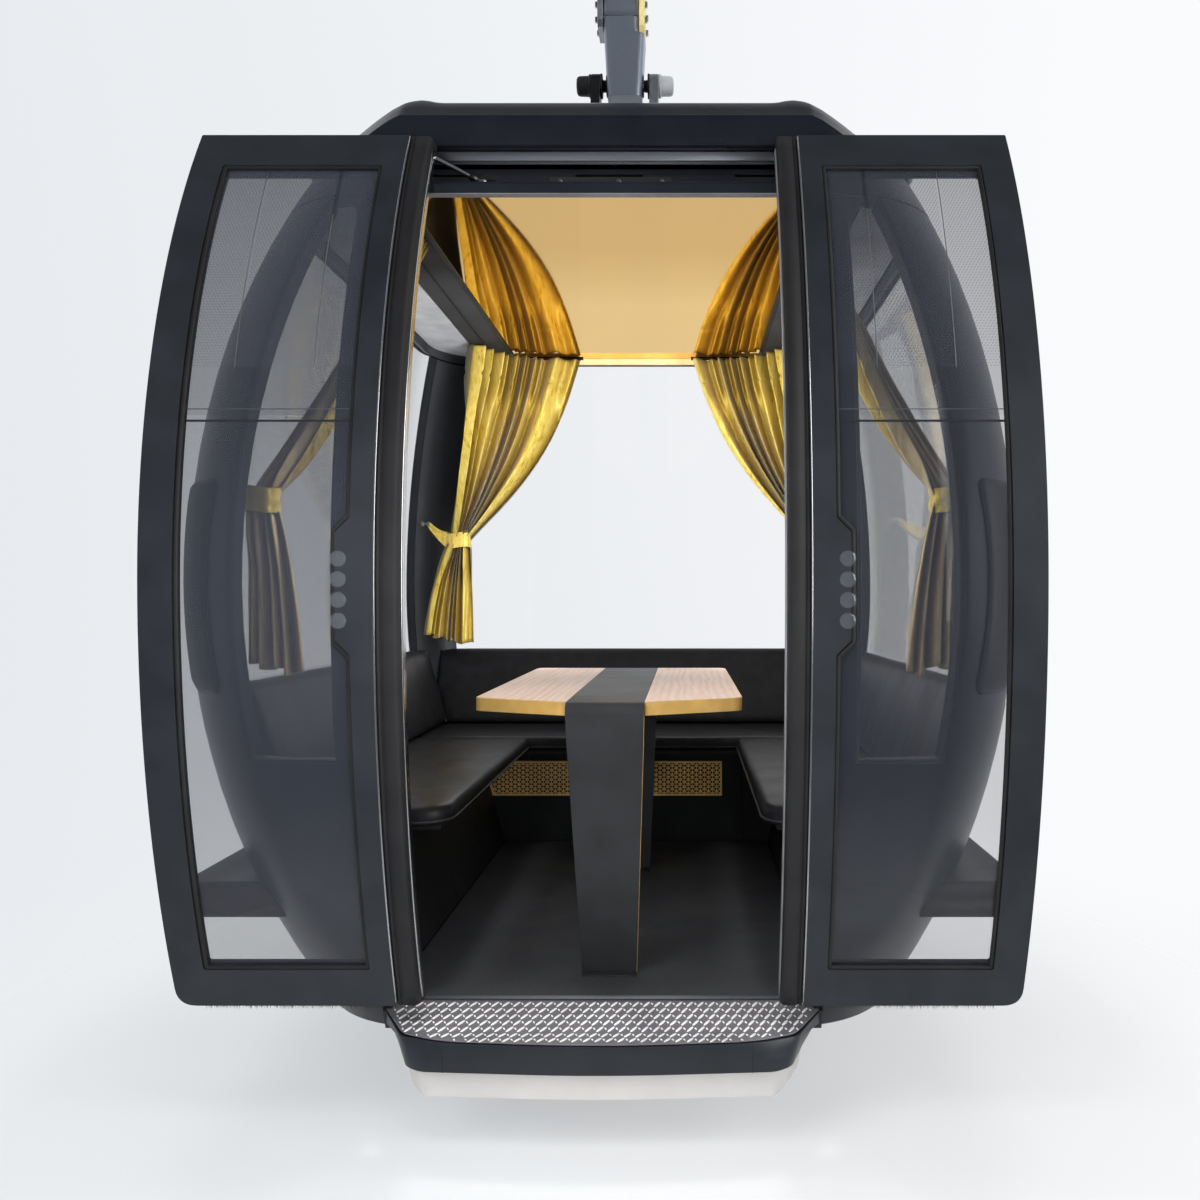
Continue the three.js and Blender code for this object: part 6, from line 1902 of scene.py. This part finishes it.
# %% Bumpers, underframe and rub pads
BUMPER_IN, BUMPER_OUT = 0.78, 1.032
outer = dense(rounded([(BUMPER_IN, -1, 0), (BUMPER_OUT, -1, 0.05), (BUMPER_OUT, 1, 0.05), (BUMPER_IN, 1, 0)],
    0.05, 8), 0.05)
outer = [p for p in outer if not (abs(p.x - BUMPER_IN) < 1e-4 and abs(p.y) < 0.999)]
for word, side in SIDES:
    rings = []
    for z, inset in ((0.217, 0.016), (0.219, 0.008), (0.227, 0), (0.25, 0), (0.255, 0.004), (0.267, 0.004),
            (0.272, 0), (0.295, 0), (0.303, 0.008), (0.305, 0.016)):
        ring = []
        for p in outer:
            away = p - Vector((min(p.x, 0.982), max(-0.95, min(0.95, p.y))))
            q = p - (away.normalized() * inset if away.length > 1e-6 else Vector((inset, 0)))
            ring.append(at(side * q.x, q.y, z))
        for y in span(1, -1, 40):
            limit = end_x(z) - 0.02
            if abs(y) >= face_y(z) - CORNER:
                limit = inside_wall_x(z, min(abs(y), face_y(z) - 0.03), 0.02)
            ring.append(at(side * min(limit, 0.99), y * 0.985, z))
        rings.append(ring)
    finish(lofted(f"{word}_bumper_rubber", rings), RUBBER, "rubber", f"{word}_bumper")
sections = [prism("beam", rounded(rectangle(x - 0.04, x + 0.04, -0.15, -0.061), 0.008), "y", -0.82, 0.82)
    for x in (-0.43, 0.43)]
sections += [prism("tie", rounded(rectangle(y - 0.035, y + 0.035, -0.13, -0.061), 0.007), "x", -0.56, 0.56)
    for y in (-0.62, 0, 0.62)]
finish(joined("underframe_section", sections), ZINC, "galvanised", "underframe")
bolts("underframe_bolt", [at(x + dx, y, -0.15) for x in (-0.43, 0.43) for dx in (-0.018, 0.018)
    for y in (-0.7, -0.3, 0.3, 0.7)], (0, 0, -1), 0.01)
PAD_LEVELS = [(0.772, 0.012, 0.001), (0.785, 0.004, 0.008), (0.8, 0, 0.0125),
    (0.806, 0, 0.0138)] + [(height, 0, 0.0138) for height in span(0.83, 1.22, 8)] + [(1.255, 0.001, 0.0125),
    (1.266, 0.006, 0.006), (1.27, 0.01, 0.001)]
for word, side in SIDES:
    caps = [prism("cap", rounded(rectangle(side * 0.43 - 0.036, side * 0.43 + 0.036, -0.146, -0.066), 0.006),
        "y", end * 0.8205, end * 0.8225) for end in (-1, 1)]
    finish(joined(f"beam_{word}_caps", caps), BLACK_PLASTIC, "black_plastic")
    for place, rear in (("front", False), ("rear", True)):
        rows = []
        for height, shrink, proud in PAD_LEVELS:
            turns = [side * turn_at_y(y, height) for y in span(1.032 + shrink, 1.143 - shrink, 10)]
            row = [body_point(t, height, -proud * min(1, 0.35 + 0.26 * min(i, 10 - i)), rear) for i,
                t in enumerate(turns)]
            rows.append([body_point(turns[0], height, -0.0004, rear), *row,
                body_point(turns[-1], height, -0.0004, rear)])
        finish(thicken(surface(f"{place}_{word}_rub_pad", rows), 0.002, even=False), BLACK_PLASTIC,
            "black_plastic")
print("bumpers, rub pads and underframe")

# %% [markdown]
# ## Suspension and hanger
# The cabin hangs by a cross pin in two lug plates on the roof frame. Above the pin are the hanger's lower tube, the
# two clamp plates that join it to the arm, and the arm itself, which sets back behind the rope so that the cabin
# hangs level while the grip passes the towers. Tube and arm are one section swept along a line.

# %% Roof frame and cross pin
PIN_HEIGHT, LUG_IN, LUG_OUT = 2.71, 0.082, 0.112
FRAME_FOOT = 2.2814
PIN = at(0, 0, PIN_HEIGHT)
TIES = (-0.52, -0.13, 0.13, 0.52)


def lug_outline():
    foot = [(-0.56, FRAME_FOOT), (0.56, FRAME_FOOT)]
    rise = in_plane([(0.56, FRAME_FOOT + 0.045), (0.15, FRAME_FOOT + 0.09)])
    eye = in_plane([(0.038 * cos(a), PIN_HEIGHT + 0.038 * sin(a)) for a in span(0, pi, 24)])
    waist = [bezier([rise[1], Vector((0.088, FRAME_FOOT + 0.2)), eye[0]], t) for t in span(0, 1, 12)[1:-1]]
    return in_plane(foot) + rise + waist + eye + in_plane(waist[::-1], -1) + in_plane(rise[::-1], -1)


# The left lug is blackened and its cap black, the right lug galvanised and its cap pale: painted shade on the left,
# painted light on the right.
for (word, side), coat, cap_lit_and_shaded in zip(SIDES, (DARK_STEEL, ZINC), (BLACK_PLASTIC, PAINTED_LIT_CAP)):
    plate(f"{word}_lug", lug_outline(), "x", side * LUG_IN, side * LUG_OUT, coat, "galvanised", "roof_frame",
        (0.0025, 3, 50), [circle(0, PIN_HEIGHT, 0.0205, 40)])
    turned(f"{word}_lug_boss", [(0, 0.0212), (0, 0.038), (0.004, 0.04), (0.0065, 0.038), (0.0065, 0.0212)],
        PIN + Vector((side * LUG_IN, 0, 0)), (-side, 0, 0), 40, RUBBER, "rubber")
    cap = [(0.0004, 0), (0.0004, 0.0355), (0.003, 0.0375), (0.007, 0.0375), (0.0085, 0.034), (0.0105, 0.0325),
        (0.038, 0.0315), (0.0455, 0.029), (0.0492, 0.023), (0.0505, 0.012), (0.0505, 0)]
    turned(f"{word}_pin_cap", cap, PIN + Vector((side * LUG_OUT, 0, 0)), (side, 0, 0), 48, cap_lit_and_shaded,
        "black_plastic")
finish(joined("roof_frame_ties", [prism("tie", rounded(rectangle(y - 0.02, y + 0.02, FRAME_FOOT + 0.0006,
    FRAME_FOOT + 0.04), 0.006), "x", -0.0816, 0.0816) for y in TIES]), ZINC, "galvanised")
bolts("frame_bolt", [at(x, y, FRAME_FOOT + 0.04) for x in (-0.045, 0.045) for y in TIES], (0, 0, 1), 0.008)
turned("cross_pin", [(-0.1118, 0), (-0.1118, 0.0195), (0.1118, 0.0195), (0.1118, 0)], PIN, (1, 0, 0), 40,
    STEEL, nodes="suspension_pin")
print("pin", PIN_HEIGHT, "m above the floor")

# %% [markdown]
# The lower tube widens upwards to its clamp. The clamp's two plates are bolted through to the arm, one of them
# painted yellow. The arm's line is straight, then a double bend, then straight again up to the pivot's barrel.

# %% Hanger tube, clamp and arm
def swept(name, stations, corner):
    """A rounded box section along a line of (centre, x from, x to, half depth, across direction) stations."""
    rings = []
    for centre, low, high, half, across in stations:
        box = rounded(rectangle(low, high, -half, half), min(corner, half * 0.9), 5)
        rings.append([at(p.x, centre.x + across.x * p.y, centre.y + across.y * p.y) for p in box])
    return lofted(name, rings)


CLAMP_STEP = 2.8584  # above it the right clamp plate lies against the tube
stations = []
for t in span(0, 1, 16):
    z, half = 2.655 + 0.254 * t, 0.0565 + 0.0135 * t
    if z < 2.857 or z > CLAMP_STEP + 0.0002:
        stations.append((Vector((0, z)), -half, 0.049 if z > CLAMP_STEP else half, half, Vector((1, 0))))
stations.append((Vector((0, CLAMP_STEP)), -0.0673, 0.0673, 0.0673, Vector((1, 0))))
stations.sort(key=lambda station: station[0].y)
finish(soften(swept("hanger_lower_tube", stations, 0.024), 0.001, 1, 50), TUBE_ZINC, "galvanised",
    "hanger_tube")
for word, side in (("front", -1), ("rear", 1)):
    turned(f"tube_{word}_eye", [(0, 0.0215), (0, 0.034), (0.003, 0.036), (0.005, 0.034), (0.005, 0.0215)],
        PIN + Vector((side * 0.0575, 0, 0)), (side, 0, 0), 32, DARK_STEEL)
plate("clamp_crossbar", rounded(rectangle(-0.056, 0.056, 2.9104, 2.9184), 0.002), "x", -0.0872, 0.0502, BRIGHT,
    "galvanised")
HALF, CUT, CLAMP_TOP = 0.073, 0.018, 3.2
for word, side, face, back, foot, coat, slot in (("left", -1, -0.0884, -0.0704, 2.882, ZINC, "galvanised"),
        ("right", 1, 0.0674, 0.0494, 2.859, YELLOW, "yellow_paint")):
    outline = in_plane([(-HALF, foot + CUT), (-HALF + CUT, foot), (HALF - CUT, foot), (HALF, foot + CUT),
        (HALF, CLAMP_TOP - CUT), (HALF - CUT, CLAMP_TOP), (-HALF + CUT, CLAMP_TOP), (-HALF, CLAMP_TOP - CUT)])
    plate(f"{word}_clamp_plate", outline, "x", face, back, coat, slot, "hanger_clamp", (0.0022, 3, 30))
    bolts(f"{word}_clamp_bolt", [at(face, y, z) for y in (-0.042, 0.042) for z in (2.91, 2.96, 3.05, 3.15)],
        (side, 0, 0), 0.011)
SET_BACK = -0.25
knee = in_plane([(0, 3.18), (0, 3.42), (SET_BACK, 3.44), (SET_BACK, 3.7)])
path = [Vector((0, z)) for z in span(2.919, 3.18, 6)[:-1]] + [bezier(knee, t) for t in span(0, 1, 36)]
path += [Vector((SET_BACK, z)) for z in span(3.72, 4.322, 14)]
stations = [(p, -0.07, 0.049, 0.0595 - 0.012 * max(0, (p.y - 3.3) / 1.03), Vector((ahead.y, -ahead.x))) for p,
    ahead in headings(path)]
finish(swept("hanger_arm_tube", stations, 0.016), TUBE_ZINC, "galvanised", "hanger_arm")
weld = [at(-0.0105 + 0.053 * cos(a), SET_BACK + 0.05 * sin(a), 4.3155) for a in span(0, 2 * pi, 40)[:-1]]
rod("arm_weld", weld, 0.0035, DARK_STEEL, "steel", 1, closed=True)
turned("arm_pivot_barrel", [(-0.045, 0.0312), (-0.045, 0.058), (-0.041, 0.062), (0.041, 0.062), (0.045, 0.058),
    (0.045, 0.0312)], at(0, SET_BACK, 4.36), (0, 1, 0), 56, TUBE_ZINC, "galvanised", caps=False)
print("arm of", len(path), "stations")

# %% [markdown]
# ## Grip
# The grip holds the haul rope between a fixed jaw, cast in one with the grip body, and a moving one that two coil
# springs press shut. Two small wheels carry the cabin through the stations, and the flat friction plate on top is
# what the station's tyres drive. The body is a casting: its edges are rounded generously and its skin is uneven.

# %% Grip body and jaw
def row_prism(name, outline, low, high, edge, material, nodes=(), body="grip", holes=()):
    """A softened prism along X whose outline is given in the row's own frame, heights from the rope."""
    outline, *holes = [[(y, z - FLOOR) for y, z in line] for line in (outline, *holes)]
    piece = prism(name, outline, "x", low, high, holes)
    work = bmesh.new()
    work.from_mesh(piece.data)  # its flat ends become single faces, which round off cleanly
    bmesh.ops.dissolve_limit(work, angle_limit=0.01, verts=work.verts, edges=work.edges)
    work.to_mesh(piece.data)
    work.free()
    return finish(soften(piece, *edge), material, "steel", nodes, body)


GROOVE = 0.0255


def groove_arc(start, end):
    """The half of the rope's groove that a jaw carries, drawn so that the outline closes with it."""
    return [(GROOVE * cos(a), GROOVE * sin(a)) for a in span(end, start, 18)]


casting = [(-0.012, -0.042), (-0.022, -0.046), (-0.06, -0.095), (-0.15, -0.095), (-0.188, -0.08),
    (-0.196, -0.07), (-0.196, 0.132), (-0.188, 0.14), (0.062, 0.14), (0.07, 0.132), (0.07, 0.07),
    (0.062, 0.064), (-0.01, 0.052), (-0.026, 0.036)]
row_prism("grip_casting", casting + groove_arc(-pi + 0.82, -pi - 0.9), -0.07, 0.07, (0.0035, 3, 35), CAST,
    "grip_body")
for i, (y, foot) in enumerate(((-0.16, -0.075), (-0.06, -0.075), (0.035, 0.075))):
    row_prism(f"grip_rib_{i}", rectangle(y - 0.006, y + 0.006, foot, 0.125), -0.0735, 0.0735, (0.003, 2), CAST)
turned("pivot_shaft", [(-0.122, 0), (-0.122, 0.024), (-0.1198, 0.025), (0, 0.025), (0, 0)], (0, -0.19, -0.04),
    (0, 1, 0), 40, STEEL, body="grip")
nut = spun("shaft_nut", [(0, 0.026), (0, 0.042), (0.0015, 0.044), (0.0105, 0.044), (0.012, 0.042), (0.012, 0)],
    (0, -0.302, -0.04), (0, -1, 0), 6)
finish(soften(nut, 0.001), DARK_STEEL, "steel", body="grip")
turned("wheel_axle", [(-0.292, 0), (-0.292, 0.012), (-0.29, 0.014), (0.132, 0.014), (0.134, 0.012),
    (0.134, 0)], (0, 0, 0.11), (0, 1, 0), 32, STEEL, body="grip")
turned("jaw_pin", [(-0.0745, 0), (-0.0745, 0.0125), (-0.0705, 0.0135), (-0.0704, 0.008), (0.0704, 0.008),
    (0.0705, 0.0135), (0.0745, 0.0125), (0.0745, 0)], (0, 0.058, 0.048), (1, 0, 0), 28, STEEL, body="grip")
for i, side in enumerate((-1, 1)):
    row_prism(f"jaw_ear_{i}", [(0.03, 0.066), (0.035, 0.045), (0.046, 0.034), (0.062, 0.032), (0.072, 0.042),
        (0.074, 0.066)], side * 0.0562, side * 0.07, (0.002, 2), CAST)
jaw = [(0.018, -0.034), (0.03, -0.046), (0.055, -0.038), (0.062, -0.03), (0.069, 0.03), (0.069, 0.052),
    (0.062, 0.058), (0.049, 0.06), (0.034, 0.052), (0.022, 0.036)]
row_prism("moving_jaw", jaw + groove_arc(-0.85, 0.95), -0.05, 0.05, (0.0015, 2, 35), JAW_METAL, "grip_jaw",
    "jaw", [circle(0.058, 0.048, 0.0086, 24)])
print("grip and jaw")

# %% [markdown]
# A coil spring is a rod wound with steady pitch between two closed end turns, so its wire climbs only between
# the first and the last turn. The wheels are turned: a steel rim, a tyre, and bolts from both sides.

# %% Springs, friction plate and wheels
SPRING_HEIGHT, TURNS, WIRE, SPRING_LENGTH, COIL = 0.182, 9.5, 0.0058, 0.218, 0.0275


def coil(x):
    """The line of a spring's wire along +Y."""
    points = []
    for t in span(0, 1, int(TURNS * 20)):
        climb = min(1, max(0, (t * TURNS - 0.8) / (TURNS - 1.6)))
        angle = 2 * pi * TURNS * t
        points.append(Vector((x + cos(angle) * COIL, -0.182 + WIRE + (SPRING_LENGTH - 2 * WIRE) * climb,
            SPRING_HEIGHT + sin(angle) * COIL)))
    return points


CUP = [(0, 0), (0, 0.032), (0.0015, 0.034), (0.004, 0.034), (0.004, 0.021), (0.02, 0.0195), (0.021, 0)]
for i, x in enumerate((-0.038, 0.038)):
    rod(f"grip_coil_{i}", coil(x), WIRE, DARK_STEEL, "steel", 2, body="grip", nodes="grip_springs")
    for j, (y, way) in enumerate(((-0.185, 1), (0.04, -1))):
        turned(f"spring_cup_{i}_{j}", CUP, (x, y, SPRING_HEIGHT), (0, way, 0), 32, STEEL, body="grip")
    turned(f"spring_rod_{i}", [(0, 0), (0, 0.011), (0.2238, 0.011), (0.2238, 0)], (x, -0.1846, SPRING_HEIGHT),
        (0, 1, 0), 20, STEEL, body="grip")
row_prism("spring_saddle", [(-0.15, 0.1404), (0.01, 0.1404), (0.01, 0.172), (0.002, 0.181), (-0.142, 0.181),
    (-0.15, 0.172)], -0.008, 0.008, (0.002, 2), CAST)
row_prism("friction_plate_top", [(-0.15, 0.229), (-0.02, 0.229), (-0.02, 0.2385), (-0.0215, 0.24),
    (-0.1485, 0.24), (-0.15, 0.2385)], -0.17, 0.17, (0.0015, 2), JAW_METAL, "friction_plate")
row_prism("friction_plate_web", rectangle(-0.12, -0.05, 0.2168, 0.2289), -0.06, 0.06, (0.002, 2), CAST)
bolts("friction_bolt", [(x, y, 0.2288) for x in (-0.14, 0.14) for y in (-0.13, -0.04)], (0, 0, -1), 0.006,
    body="grip")

# The right halves of the tyre's and the rim's profiles, outwards from the middle; both are the same mirrored.
TYRE_HALF = [(0.013, 0.08), (0.019, 0.079), (0.022, 0.074), (0.022, 0.062)]
RIM_OUTER = [(0.0215, 0.0618), (0.0215, 0.0585), (0.016, 0.055), (0.011, 0.052), (0.011, 0.032),
    (0.014, 0.0285), (0.0215, 0.026), (0.0215, 0.0148)]


def both_sides(half):
    return [(-x, r) for x, r in reversed(half)] + half


for word, y in (("outer", -0.262), ("inner", 0.104)):
    wheel = {"body": f"{word}_wheel", "caps": False}
    turned(f"{word}_wheel_tyre", both_sides(TYRE_HALF), (0, y, 0.11), (0, 1, 0), 72, TYRE, "wheel_tyre",
        f"{word}_running_wheel", **wheel)
    turned(f"{word}_wheel_rim", both_sides(RIM_OUTER), (0, y, 0.11), (0, 1, 0), 72, STEEL, **wheel)
    for i, a in enumerate(span(0, 2 * pi, 6)[:-1]):
        for way in (-1, 1):
            bolt(f"{word}_wheel_bolt_{i}_{way + 1}", (cos(a) * 0.042, y + way * 0.011, 0.11 + sin(a) * 0.042),
                (0, way, 0), 0.004, DARK_STEEL, f"{word}_wheel")
print("springs, friction plate and two wheels")
